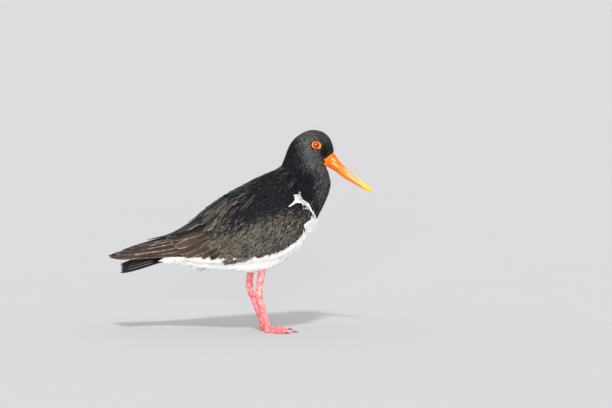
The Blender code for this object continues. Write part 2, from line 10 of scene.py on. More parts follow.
import bmesh
import bpy
import numpy as np
from bpy.props import FloatProperty, FloatVectorProperty, IntProperty, PointerProperty
from mathutils import Matrix, Vector
from mathutils.bvhtree import BVHTree


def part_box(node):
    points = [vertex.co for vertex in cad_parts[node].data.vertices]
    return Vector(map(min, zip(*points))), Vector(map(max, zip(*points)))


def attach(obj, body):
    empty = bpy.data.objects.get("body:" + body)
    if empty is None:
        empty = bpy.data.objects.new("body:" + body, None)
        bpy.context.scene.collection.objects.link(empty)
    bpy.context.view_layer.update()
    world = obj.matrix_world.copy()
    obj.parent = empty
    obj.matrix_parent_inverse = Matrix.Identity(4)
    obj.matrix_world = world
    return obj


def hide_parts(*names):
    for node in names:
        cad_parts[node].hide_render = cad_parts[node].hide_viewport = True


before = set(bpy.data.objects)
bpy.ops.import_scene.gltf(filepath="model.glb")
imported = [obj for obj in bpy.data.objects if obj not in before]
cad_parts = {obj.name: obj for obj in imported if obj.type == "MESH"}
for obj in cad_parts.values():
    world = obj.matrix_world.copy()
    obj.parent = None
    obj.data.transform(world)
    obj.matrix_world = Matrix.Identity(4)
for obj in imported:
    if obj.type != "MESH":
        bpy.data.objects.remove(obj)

bl_info = {
    "name": "Pied Oystercatcher",
    "version": (1, 0, 0),
    "blender": (4, 5, 0),
    "location": "View3D > Sidebar > Oystercatcher",
    "description": "Dresses the solids of a standing oystercatcher with skin, feathers, bill, eyes and legs",
    "category": "Object",
}

MM = 0.001
RIGHT = -1
LEFT = 1
SIDES = (("right", RIGHT), ("left", LEFT))

# How far apart two places of a surface are that its slope is measured between.
STEP = 0.02

# The trunk, neck and head: top (x, z), low (x, z) and half width, from under the tail to the bill.
BODY = np.array((
    (-119, 98, -121, 94.5, 12), (-106, 104.5, -104, 96.5, 16.5), (-86, 115, -82, 95.5, 21.5),
    (-60, 137, -48, 88.5, 28), (-30, 163, -12, 84.5, 38), (4, 189, 26, 83.5, 49),
    (28, 207, 58, 97, 55), (45, 217.5, 86, 121, 54), (54, 224, 104.5, 156, 47),
    (58, 232, 118.5, 184, 36.5), (61.5, 241, 124, 203, 28.5), (65, 251, 121.5, 218, 24),
    (71, 262.5, 118.5, 226, 22.5), (82, 272.5, 117.5, 228, 21.5), (96, 278.5, 117, 229.5, 19.3),
    (111, 277, 117.2, 230.5, 14), (122, 269, 117.4, 231, 9.2), (127, 258, 117.4, 231.4, 7.4),
    (129, 248, 117.4, 232, 6.4),
))
BODY_SQUARENESS = 2.3
BODY_REAR = -121
NECK_FROM = 8
HEAD_FROM = 11
BODY_TO = 18

# How far the zero of the side view lies ahead of the frame's, in metres.
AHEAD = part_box("torso")[0].x - BODY_REAR * MM

# The folded wing: top (x, z), lower edge (x, z), half width and wrap in degrees, from tip to bend.
WING = np.array((
    (-181, 106, -181, 104, 6, 90), (-166.3, 112, -166.3, 103.4, 11, 90),
    (-145.6, 119.4, -145.6, 103.3, 16, 90), (-122, 127.4, -122, 103.5, 21, 90),
    (-97.3, 134.5, -97.3, 104.2, 26.5, 92), (-69.7, 151.1, -67, 102.1, 34.5, 98),
    (-44.9, 171, -39.3, 99.8, 42, 107), (-21.4, 187, -11.7, 100, 49.5, 116),
    (1, 199, 15.9, 102.1, 55.5, 123), (20, 209, 43.5, 106.3, 59.5, 129),
    (36, 216, 65.6, 115.9, 60, 134), (48, 221, 83.5, 129.7, 57.5, 138),
    (56, 227, 98, 157, 51, 142),
))
WING_SQUARENESS = 2.35
WING_TO = 12

# The tail's upper face, from root to tip: x, the heights of its ridge and edges, its half widths,
# and how late the ridge falls.
TAIL_ENDS = (-90, -167)
TAIL_RIDGE = (109, 91)
TAIL_EDGE = (104.5, 79.5)
TAIL_HALF_WIDTHS = (12, 24)
TAIL_ARCH = 2.2

# The bill: the ridge, the line where its halves meet and the lower keel, as (x, z), and half its width.
BILL_RIDGE = ((118, 247), (129, 246.5), (133.5, 240.5), (141.5, 231), (154, 219.6), (166, 209.6),
              (175.5, 202.4), (182.4, 197.2))
BILL_MEETING = ((112, 239), (118.5, 235.2), (124, 231.8), (133, 226), (145, 217.7), (158, 208.9),
                (169.5, 201.2), (180.2, 194.9))
BILL_KEEL = ((108, 231), (116.5, 229.2), (123.5, 226.3), (132, 221), (144, 212), (155, 205.6),
             (166.5, 199), (178.4, 192.8))
BILL_HALF_WIDTHS = (5.8, 6.4, 5.6, 4.7, 3.9, 3.2, 2.5, 1.5)
BILL_SQUARENESS = 1.9
NOSTRIL = ((127.5, 236.2), (142.5, 223.2))

# The line that the bill's streaks lie about, as x, z and slope, and their colours: a pink painted sheen,
# pale streaks of painted highlight, and the painted shade of the nostril slit.
BILL_AXIS = (128, 235.5, 0.8)
BILL_PAINTED_SHEEN = (0.92, 0.4, 0.27)
BILL_PAINTED_HIGHLIGHT = (1.0, 0.72, 0.42)
BILL_NOSTRIL_SHADE = (0.14, 0.02, 0.004)

# The bare gape beside the bill's root: from where to where, and its edges' heights at both ends.
GAPE_REACH = (115.2, 127)
GAPE_TOP = (240.6, 247)
GAPE_LOW = (231.6, 226.5)
GAPE_NOTCH = 1.6
GAPE_THICK = 0.7
GAPE_CLEFT = 2.6

EYE_CENTRE = (104.2, 258.8)
EYE_OUT = 15.6
EYE_FACING = (0.2, 0.96, 0.16)
EYE_RADIUS = 5.2
SOCKET_RADIUS = 8.5
SOCKET_DEPTH = 2.6
CLEAR_ROUND_EYE = (7.0, 5.6)

# The fleshy ring: inner radius, its outer reach back, ahead and upwards, and how much further its
# corner reaches, at which turn in degrees, over which spread in radians.
RING_INNER = 4.75
RING_BACK = 6.7
RING_AHEAD = 6.9
RING_UP = 5.3
RING_CORNER = 1.6
RING_CORNER_TURN = 326
RING_CORNER_SPREAD = 0.3
RING_THICK = 0.9

# Each leg from the body down: x, distance out, z, half depth, half width.
LEGS = {
    "right": ((30.5, 17.5, 104, 7, 6), (29.6, 18, 88, 5.4, 4.8), (27.6, 18.3, 74, 4.8, 4.1),
              (26, 18.6, 62, 4.8, 4.1), (25.6, 18.8, 57, 5.3, 4.3), (25.3, 18.9, 52.4, 5.4, 4.4),
              (26.9, 19, 47, 4.6, 3.6), (28.8, 19.2, 40, 4, 2.9), (34, 19.6, 22, 3.9, 2.8),
              (37, 19.9, 12, 4.1, 3.2), (38.2, 20, 6.5, 4.3, 3.6)),
    "left": ((16, 17.5, 106, 7, 6), (14.4, 18, 90, 5.4, 4.8), (13, 18.3, 77, 4.8, 4.1),
             (12.1, 18.6, 68, 4.8, 4.1), (12, 18.8, 64.3, 5.1, 4.3), (12, 18.9, 60.2, 5.2, 4.4),
             (13.2, 19, 55, 4.5, 3.6), (15.5, 19.2, 48, 4, 2.9), (25.2, 19.6, 24, 3.9, 2.8),
             (29.6, 19.9, 12.5, 4.1, 3.2), (31.2, 20, 7, 4.3, 3.6)),
}
FOOT_JOINTS = {"right": (38.2, 20), "left": (31.2, 20)}
TOES = {"inner": (34, 28.5, 6), "middle": (0, 36.5, 7), "outer": (-34, 31.5, 6)}
TOE_HALF_WIDTHS = (3.2, 3, 2.7, 3.1, 2.6, 2.8, 2.2)
TOE_HEIGHTS = (6.4, 5.2, 4.4, 4.9, 3.9, 4.2, 3.3)
TOE_START_BEHIND = 2
WEB_LENGTH = 13
WEB_HEIGHT = 1.8
CLAW_HEIGHT = 2.6
CLAW_HALF_WIDTH = 1.6
CLAW_CLEAR = 0.5

# The pad under the toes' roots: x and z of its middle from there, and its half sizes.
PAD_MIDDLE = (1.6, 3.2)
PAD_SIZE = (4.6, 4.2, 3.9)

# The gap between two pieces that touch.
GAP = 0.3

# The outline of the white, as (x, z) in the side view: the breast line, the spur up before the
# wing and back along its bend, the flank under the wing's edge, and round below the bird.
WHITE_OUTLINE = np.array((
    (135, 154), (107, 154), (103.8, 158.5), (103, 163), (101, 167.5), (98, 172),
    (96.4, 176), (94.3, 180.4), (89.6, 184), (85, 186.4), (82.6, 191), (81.4, 199),
    (79.4, 195), (77.8, 191), (72.4, 196), (75.3, 189), (74.8, 184.8), (70.8, 180.6),
    (67.2, 178), (68.2, 177.2), (72.2, 179.2), (76, 182.2), (81.2, 182.2), (85.6, 179.6),
    (89.6, 176), (93.2, 172.4), (96.6, 168), (99.6, 163.6), (99.8, 159.6), (94.3, 157.2), (89.9, 154.6),
    (86.8, 151.9), (86.8, 148.9), (89, 145.8), (85.6, 139.8), (77, 133.9), (72.6, 123.6),
    (62, 112), (43, 105), (16, 101.5), (-12, 101), (-67, 102), (-100, 104), (-124, 99),
    (-150, 80), (-100, 0), (135, 0),
))

# How much further up the white feathers start under the wing's lower edge, by x.
WHITE_UNDER_WING = ((60, 76), (12, 0))

# Feather length along the body in millimetres: from the tail's underside to the face.
BODY_LENGTHS = ((0, 1, 3, 6, 8, 9.5, 11, 12.5, 14, 16, 18),
                (20, 17, 14, 12, 9, 7, 5.2, 3.8, 2.9, 2.2, 1.7))

# How deep the skin lies under the coat along the body, as a share of the depth on the trunk.
DEPTH_ALONG = ((0, 3, NECK_FROM, HEAD_FROM, 13, BODY_TO), (0.7, 1, 1, 0.62, 0.42, 0.3))

# How grey the head's feathers are from the nape forward, and the throat's, with the heights between
# which one passes into the other. The grey of the face is partly worn tone and partly painted sunlit
# sheen, and the darker nape and throat are partly painted shade. The lores are darker, as painted
# shadow: x, z and half sizes.
HEAD_WEAR_AND_PAINTED_SHEEN = ((70, 80, 94, 112, 122), (0.02, 0.2, 0.62, 0.6, 0.5))
THROAT_WEAR_AND_PAINTED_SHADE = ((90, 100, 112), (0.02, 0.1, 0.5))
THROAT_HEIGHTS = (216, 236)
LORES = (118.5, 251, 8, 9)
LORES_PAINTED_SHADOW = 0.8

# Where the white feathers behind the legs are fluffed out, and by how much.
FLUFF_MIDDLE = -46
FLUFF_REACH = 12
FLUFF_RISE = 10
FLUFF_TOP = 96

# The white tufts of the spur before the wing: where they may grow, how many to a square millimetre,
# how long they are, how far out of the bird's middle, and how they lie.
SPUR_REACH = ((64, 108), (143, 201))
SPUR_DENSITY = 6.2
SPUR_LENGTH = 2.9
SPUR_FIELD = 18
SPUR_HEADING = 38

# The white feathers that lap the wing's lower edge, a few to each millimetre, flat before LAP_FRONT.
LAP_REACH = (-95, 78)
LAP_DENSITY = 11
LAP_LENGTH = 12
LAP_FRONT = (45, 76)
LAP_UNDER_EDGE = 4.5
LAP_HEADING = -4

# Two dots of white on the wing's edge, and the brown tuft that hangs over the white beside them.
WHITE_DOTS = ((-6.5, -3.4), (106.6, 106))
DOT_TUFTS = 5
BROWN_TUFT_COUNT = 110
BROWN_TUFT_REACH = (-17, 1)
BROWN_TUFT_HEIGHT = (102, 106)
BROWN_TUFT_HEADING = 34

# Below this line, as (x, z) in the side view, the wing is worn brown, and above it glossy black.
GLOSS_LINE = ((-100, -61, -17, 6, 30, 55, 75, 100), (128, 138, 151, 157, 164, 171, 175, 172))
GLOSS_FADE = 15
PALE_AMONG_GLOSSY = ((-60, -15, 5, 26), (0.9, 0.8, 0.15, 0))
WEAR_FORWARD = ((-60, 10, 50, 70, 95), (1, 1, 0.92, 0.78, 0.62))

# How steeply the wing's feathers run down to the rear, in degrees, below and above that line.
FLOW_LOW = ((-100, -60, -20, 20, 60, 95), (14, 26, 41, 54, 62, 66))
FLOW_HIGH = ((-60, -20, 10, 40, 90), (36, 44, 50, 38, 30))
RIDGE_SHARE = 0.3
EDGE_SHARE = 0.66
EDGE_FLAT = 0.9

# Long feathers of the folded wing that show one by one: root and tip as (x, z) in the side view,
# width, rise over the wing's face, wear, and bend.
WING_FEATHERS = (
    (-52, 157, -108, 130.5, 10, 1.2, 0.3, 0), (-30, 148, -98, 128, 12, 1.4, 0.9, 0.05),
    (-26, 145, -90, 119, 13, 1.8, 0.95, 0.05), (-24, 141, -86, 111, 13, 2.1, 1, 0.12),
    (-28, 137, -74, 105.5, 12, 2.4, 0.9, 0.2), (-16, 146, -60, 111, 11, 2.7, 0.95, 0.12),
    (-12, 140, -52, 105, 12, 2.9, 0.8, 0.16), (2, 148, -44, 109, 12, 3.0, 0.85, 0.1),
    (12, 153, -30, 115, 11, 3.3, 0.9, 0.05), (-6, 134, -40, 104, 12, 3.2, 0.7, 0.1),
    # The near-black feather from (-18, 153) to (-97, 132.5) lies along the lower edge of the tertials as a
    # line of painted shadow.
    (-18, 153, -97, 132.5, 8, 2.6, 0.06, 0), (36, 205, 5, 170, 5, 4.2, 0.36, 0.1),
    (30, 203, -1, 168, 4, 4, 0.3, 0.1), (-75, 107, -174, 104.5, 5, 2, 0.95, 0),
)

# The narrow feathers over the wing: how far apart, and how far back by the share of the way down.
FINE_GAP = 1.65
FINE_REAR = ((0, 0.3, 0.44, 0.6, 1), (44, 36, -4, -22, -30))

COVERT_ROWS = 6
SCAPULAR_ROWS = 9
MANTLE_ROWS = 14
TAIL_FEATHERS = 6

# The middle of the picture on the bird's middle plane, as (x, z) in the side view.
PICTURE_MIDDLE = (90.4, 176.6)

# The sky, and each light: strength, spread, turn from the camera's side and height, in degrees.
SKY = (0.93, 0.95, 1, 1)
SKY_STRENGTH = 1.1
LIGHTS = {"key": (2.6, 5, 2, 42), "fill": (2.9, 12, 0, 6)}
FLOOR_HALF_SIZE = 60
VIEW_END = 200

# Feathers before they grow: their places on a surface, which way they lie and turn, their sizes in
# millimetres, how deep their roots and how high their tips lie, and two values for their looks.
Seeds = namedtuple("Seeds", "u v heading curl length width sink rise tilt crown thick worn shade")
Cut = namedtuple("Cut", "stations columns belly breadth")

# Grown feathers as one mesh: its points and triangles, two maps and the values for its looks.
Coat = namedtuple("Coat", "points faces vane bake worn shade")

# How a feather is cut: where its sections lie, each one's points, if it has an underside, its outline.
TUFT = Cut((0, 0.35, 0.7, 0.9), (-1, 0, 1), False, ((0, 0.35, 0.7, 0.9, 1), (0.35, 0.85, 1, 0.62, 0.2)))
COVERT = Cut((0, 0.2, 0.4, 0.58, 0.74, 0.86, 0.94, 0.985), (-1, -0.5, 0, 0.5, 1), True,
             ((0, 0.2, 0.45, 0.65, 0.8, 0.9, 0.96, 1), (0.4, 0.75, 1, 1, 0.9, 0.7, 0.42, 0.1)))
FLIGHT = Cut((0, 0.12, 0.25, 0.38, 0.5, 0.62, 0.72, 0.81, 0.88, 0.93, 0.97, 0.99),
             (-1, -0.6, -0.25, 0, 0.25, 0.6, 1), True,
             ((0, 0.15, 0.5, 0.7, 0.85, 0.94, 0.98, 1), (0.6, 0.9, 1, 0.96, 0.82, 0.56, 0.3, 0.08)))


def colour_property(name, description, default):
    """A colour that the panel shows."""
    return FloatVectorProperty(
        name=name, description=description, subtype="COLOR", default=default, min=0, max=1)


def distance_property(name, description, default, least, most):
    """A length in metres that the panel shows."""
    return FloatProperty(
        name=name, description=description, subtype="DISTANCE", unit="LENGTH", default=default,
        min=least, max=most)


class BirdPlumage(bpy.types.PropertyGroup):
    """The coat's colours and sizes"""
    black: colour_property("Black", "Colour of the glossy black feathers", (0.0034, 0.0036, 0.0052))
    worn: colour_property("Worn brown", "Colour of the sun-worn wing feathers", (0.082, 0.0735, 0.057))
    rim: colour_property("Worn rim", "Colour of the bleached edges of worn feathers", (0.36, 0.3, 0.24))
    white: colour_property("White", "Colour of the white feathers", (0.885, 0.88, 0.865))
    depth: distance_property(
        "Coat depth", "How deep the skin lies under the feathers on the trunk", 0.0022, 0.0005, 0.004)
    closeness: FloatProperty(
        name="Closeness", description="Distance between small feathers as a share of their length",
        default=0.25, min=0.15, max=0.6)
    seed: IntProperty(name="Seed", description="Start of the random draws", default=11, min=0)


class BirdFace(bpy.types.PropertyGroup):
    """The bill's and the eyes' colours and sizes"""
    bill_base: colour_property("Bill base", "Colour of the bill at the face", (0.86, 0.115, 0.0015))
    bill_middle: colour_property("Bill middle", "Colour half way along the bill", (0.86, 0.16, 0.008))
    bill_tip: colour_property("Bill tip", "Colour at the tip of the bill", (0.86, 0.36, 0.002))
    iris: colour_property("Iris", "Colour of the iris", (0.75, 0.005, 0.002))
    ring: colour_property("Eye ring", "Colour of the fleshy ring round the eye", (0.9, 0.37, 0.005))
    pupil: distance_property("Pupil", "Radius of the pupil", 0.0026, 0.0005, 0.004)


class BirdLegs(bpy.types.PropertyGroup):
    """The legs' colours"""
    skin: colour_property("Leg skin", "Colour of the legs and feet", (0.55, 0.085, 0.105))
    # The scales' pale middles are partly their own tone and partly painted highlight.
    scale: colour_property("Leg scales", "Colour of the pale middles of the scales", (0.82, 0.56, 0.46))
    claw: colour_property("Claws", "Colour of the claws", (0.035, 0.028, 0.026))


class BirdStudio(bpy.types.PropertyGroup):
    """The floor and the camera"""
    floor: colour_property("Floor", "Colour of the floor", (0.43, 0.42, 0.41))
    lens: FloatProperty(
        name="Lens", description="Focal length of the camera, in millimetres", default=300, min=50)
    elevation: FloatProperty(
        name="Elevation", description="Angle that the camera looks down by", subtype="ANGLE",
        unit="ROTATION", default=math.radians(4))
    width: distance_property(
        "Picture width", "Width of what the picture shows at the bird", 0.8446, 0.1, 10)


def curve_at(table, place):
    """Rows of a table at fractional places, on a Catmull-Rom curve that runs straight past its ends."""
    last = len(table) - 1
    inside = np.clip(place, 0, last)
    low = np.minimum(inside.astype(int), last - 1)
    t = (inside - low)[..., None]
    a, b, c, d = (table[np.clip(low + k, 0, last)] for k in (-1, 0, 1, 2))
    curve = 0.5 * (2 * b + (c - a) * t + (2 * a - 5 * b + 4 * c - d) * t**2 + (3 * b - a - 3 * c + d) * t**3)
    before, after = np.minimum(place, 0)[..., None], np.maximum(place - last, 0)[..., None]
    return curve + before * (table[1] - table[0]) + after * (table[-1] - table[-2])


def rounded(angle, squareness):
    """How far out and how far up the rim of a superellipse is, at angles from straight up."""
    out, up = np.sin(angle), np.cos(angle)
    power = 2 / squareness
    return np.sign(out) * np.abs(out) ** power, np.sign(up) * np.abs(up) ** power


def in_row(x, y, z):
    """Points in metres in the frame, from millimetres in the side view."""
    return np.stack(np.broadcast_arrays(x * MM + AHEAD, y * MM, z * MM), -1)


def side_place(points):
    """Places in metres as (x, z) in millimetres in the side view."""
    return (points[..., 0] - AHEAD) / MM, points[..., 2] / MM


def body_surface(place, turn):
    """Points of the trunk, neck and head: place runs from the rear, turn from straight up to the left."""
    top_x, top_z, low_x, low_z, half = np.moveaxis(curve_at(BODY, place), -1, 0)
    out, high = rounded(turn, BODY_SQUARENESS)
    return in_row((top_x + low_x) / 2 + (top_x - low_x) / 2 * high, np.maximum(half, 1) * out,
                  (top_z + low_z) / 2 + (top_z - low_z) / 2 * high)


def wing_surface(place, share):
    """Points of the left wing's outer face: place runs from its tip, share from its top edge."""
    top_x, top_z, edge_x, edge_z, half, wrap = np.moveaxis(curve_at(WING, place), -1, 0)
    wrap = np.radians(wrap)
    _, turned = rounded(wrap, WING_SQUARENESS)
    out, high = rounded(wrap * share, WING_SQUARENESS)
    drop = (high - 1) / (1 - turned)
    return in_row(top_x + (top_x - edge_x) * drop, np.maximum(half, 1) * out,
                  top_z + (top_z - edge_z) * drop)


def tail_surface(place, share):
    """Points of the tail's upper face: place runs from its tip, share from its middle to the left."""
    from_root = 1 - place
    ends = (TAIL_ENDS, TAIL_EDGE, TAIL_HALF_WIDTHS)
    x, edge, half = (root + (tip - root) * from_root for root, tip in ends)
    fall = np.sign(from_root) * np.abs(from_root) ** TAIL_ARCH
    ridge = TAIL_RIDGE[0] + (TAIL_RIDGE[1] - TAIL_RIDGE[0]) * fall
    return in_row(x, half * share, ridge + (edge - ridge) * share * np.abs(share))


def dot(a, b):
    """The products of two rows of vectors, as one column."""
    return (a * b).sum(-1, keepdims=True)


def unit(a):
    """Vectors made one long."""
    return a / np.maximum(np.sqrt(dot(a, a)), 1e-12)


def lie(surface, u, v):
    """Points of a surface, its two slopes there and the way out of it."""
    ahead = (surface(u + STEP, v) - surface(u - STEP, v)) / (2 * STEP)
    aside = (surface(u, v + STEP) - surface(u, v - STEP)) / (2 * STEP)
    return surface(u, v), ahead, aside, unit(np.cross(ahead, aside))


def slid(u, v, ahead, aside, move):
    """Where small moves along a surface lead from places on it."""
    aa, ab, bb = dot(ahead, ahead), dot(ahead, aside), dot(aside, aside)
    ma, mb = dot(move, ahead), dot(move, aside)
    scale = np.maximum(aa * bb - ab * ab, 1e-18)
    return u + ((ma * bb - mb * ab) / scale)[:, 0], v + ((mb * aa - ma * ab) / scale)[:, 0]


def inside_white(points):
    """Which points lie inside the outline of the white, in the side view."""
    x, z = side_place(points)
    found = np.zeros(len(points), bool)
    for (x0, z0), (x1, z1) in zip(WHITE_OUTLINE, np.roll(WHITE_OUTLINE, -1, 0)):
        if z0 == z1:
            continue
        crosses = ((z0 > z) != (z1 > z)) & (x < (x1 - x0) * (z - z0) / (z1 - z0) + x0)
        found ^= crosses
    return found


def seeds_of(count, **values):
    """Seeds of some feathers, with each value given for all of them or for each."""
    return Seeds(**{name: np.full(count, value, float) for name, value in values.items()})


def grow_feathers(surface, seeds, cut, rng, fray):
    """Points of many feathers, (count, points of one, 3), each rooted in a surface and lying back on it."""
    u, v, heading = seeds.u.copy(), seeds.v.copy(), seeds.heading.copy()
    count = len(u)
    ends = cut.stations + (1,)
    points = []
    for t, following in zip(ends, ends[1:] + (1,)):
        middle, ahead, aside, out = lie(surface, u, v)
        back = -unit(ahead)
        down = unit(aside - back * dot(aside, back))
        cos, sin = np.cos(heading)[:, None], np.sin(heading)[:, None]
        forward = back * cos + down * sin
        across = down * cos - back * sin
        lift = (seeds.rise + seeds.sink) * t - seeds.sink
        if t == 1:
            points.append(middle + out * lift[:, None] * MM)
            break
        wide = seeds.width / 2 * np.interp(t, *cut.breadth)
        tops = []
        for column in cut.columns:
            move = across * (column * wide * MM)[:, None]
            if fray and abs(column) == 1:
                move = move + forward * (rng.uniform(-1, 1, count) * fray * MM)[:, None]
            high = lift + (seeds.tilt * column * min(1, 3 * t) + seeds.crown * (1 - column**2))
            tops.append(surface(*slid(u, v, ahead, aside, move)) + out * high[:, None] * MM)
        points.extend(tops)
        if cut.belly:
            for top, column in zip(tops[-2:0:-1], cut.columns[-2:0:-1]):
                thick = seeds.thick * (1 - 0.6 * t) * (1 - 0.5 * abs(column))
                points.append(top - out * thick[:, None] * MM)
        u, v = slid(u, v, ahead, aside, forward * (seeds.length * MM * (following - t))[:, None])
        heading = heading + seeds.curl * (following - t)
    return np.stack(points, 1)


def blade_pattern(cut):
    """The triangles of one feather and where its points lie across (0 to 1) and along (0 to 1) it."""
    columns = list(cut.columns) + (list(cut.columns[-2:0:-1]) if cut.belly else [])
    ring = len(columns)
    faces = [(0, k, k + 1) for k in range(1, ring - 1)]
    for row in range(len(cut.stations) - 1):
        for k in range(ring):
            a, b = row * ring + k, row * ring + (k + 1) % ring
            faces += [(a, a + ring, b), (b, a + ring, b + ring)]
    last = (len(cut.stations) - 1) * ring
    tip = last + ring
    faces += [(last + k, tip, last + (k + 1) % ring) for k in range(ring)]
    places = [((c + 1) / 2, t) for t in cut.stations for c in columns] + [(0.5, 1)]
    return np.array(faces), np.array(places)


def patches(seeds, spread, size):
    """The corner of each feather's patch on an unwrap of the skin's own shape, and the patch's size."""
    (u0, u1), (v0, v1) = spread
    left = 0.01 + 0.97 * np.clip((seeds.v - v0) / (v1 - v0), 0, 1)
    low = 0.01 + 0.97 * np.clip((seeds.u - u0) / (u1 - u0), 0, 1)
    return np.stack([left, low], 1), np.full((len(left), 2), size)


def strips(count):
    """The corners and sizes of one strip each for a few large feathers, side by side."""
    left = (np.arange(count) + 0.06) / count
    return np.stack([left, np.full(count, 0.01)], 1), np.tile((0.88 / count, 0.98), (count, 1))


def coat_of(surface, seeds, cut, rng, layout, side=LEFT, fray=0.0, clear=None):
    """Feathers as arrays, on the left or mirrored to the right; clear says which of them may stay."""
    points = grow_feathers(surface, seeds, cut, rng, fray)
    if clear is not None:
        stay = clear(points)
        points, seeds, layout = points[stay], chosen(seeds, stay), [each[stay] for each in layout]
    faces, places = blade_pattern(cut)
    count, each = points.shape[:2]
    first = points[0][faces]
    inward = np.einsum("ij,ij->i", first[:, 0], np.cross(first[:, 1], first[:, 2])).sum() < 0
    if side == RIGHT:
        points = points * (1, -1, 1)
    if inward != (side == RIGHT):
        faces = faces[:, ::-1]
    corner, size = layout
    return Coat(
        points.reshape(-1, 3),
        (faces[None] + np.arange(count)[:, None, None] * each).reshape(-1, 3),
        np.tile(places, (count, 1)),
        (corner[:, None] + places[None] * size[:, None]).reshape(-1, 2),
        np.repeat(seeds.worn, each),
        np.repeat(seeds.shade, each),
    )


def joined(coats):
    """Several coats as one."""
    starts = np.cumsum([0] + [len(coat.points) for coat in coats[:-1]])
    faces = np.concatenate([coat.faces + start for coat, start in zip(coats, starts)])
    others = [np.concatenate(parts) for parts in zip(*coats)]
    return Coat(others[0], faces, *others[2:])


def coat_piece(name, coat, look, slot, replaced=()):
    """A coat as a mesh object, with its maps and values."""
    mesh = bpy.data.meshes.new(name)
    mesh.vertices.add(len(coat.points))
    mesh.vertices.foreach_set("co", coat.points.ravel())
    mesh.loops.add(coat.faces.size)
    mesh.loops.foreach_set("vertex_index", coat.faces.ravel())
    mesh.polygons.add(len(coat.faces))
    mesh.polygons.foreach_set("loop_start", np.arange(0, coat.faces.size, 3))
    mesh.update(calc_edges=True)
    for layer, places in (("Vane", coat.vane), ("OFBake", coat.bake)):
        mesh.uv_layers.new(name=layer).uv.foreach_set("vector", places[coat.faces.ravel()].ravel())
    value_on(mesh, "Worn", coat.worn)
    value_on(mesh, "Shade", coat.shade)
    mesh.shade_smooth()
    mesh.set_sharp_from_angle(angle=math.radians(65))
    placed(name, mesh, look, slot, replaced)


def in_scene(name, data):
    """A new object in the scene."""
    obj = bpy.data.objects.new(name, data)
    bpy.context.scene.collection.objects.link(obj)
    return obj


def placed(name, mesh, look, slot, replaced=()):
    """Puts a mesh into the scene as a piece that rides on the bird and stands for its solids."""
    obj = in_scene(name, mesh)
    mesh.materials.clear()
    mesh.materials.append(look)
    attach(obj, "root")
    if replaced:
        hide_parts(*replaced)


def net(along, across, place, merge=1e-6):
    """A grid bent over a shape by a function of two shares, with its seams merged and its ends filled."""
    bm = bmesh.new()
    bmesh.ops.create_grid(bm, x_segments=across, y_segments=along, size=1)
    shares = np.array([(v.co.y + 1, v.co.x + 1) for v in bm.verts]) / 2
    for vertex, point in zip(bm.verts, place(shares[:, 0], shares[:, 1])):
        vertex.co = point
    bmesh.ops.remove_doubles(bm, verts=bm.verts, dist=merge)
    bmesh.ops.holes_fill(bm, edges=[e for e in bm.edges if e.is_boundary], sides=0)
    bmesh.ops.recalc_face_normals(bm, faces=bm.faces)
    return bm


def mesh_of(name, bm, smooth=True):
    """A mesh from a shape, which is freed."""
    mesh = bpy.data.meshes.new(name)
    bm.to_mesh(mesh)
    bm.free()
    if smooth:
        mesh.shade_smooth()
    return mesh


def value_on(mesh, label, values):
    """Gives each point of a mesh a value that its look can read."""
    mesh.attributes.new(label, "FLOAT", "POINT").data.foreach_set("value", np.asarray(values, np.float32))


def places_of(mesh, what="co"):
    """The places of a mesh's points as rows, or their normals."""
    found = np.empty(len(mesh.vertices) * 3)
    mesh.vertices.foreach_get(what, found)
    return found.reshape(-1, 3)


def mirror(bm):
    """Turns a shape of the left side into one of the right."""
    bmesh.ops.transform(bm, matrix=Matrix.Diagonal((1, -1, 1, 1)), verts=bm.verts)
    bmesh.ops.reverse_faces(bm, faces=bm.faces)


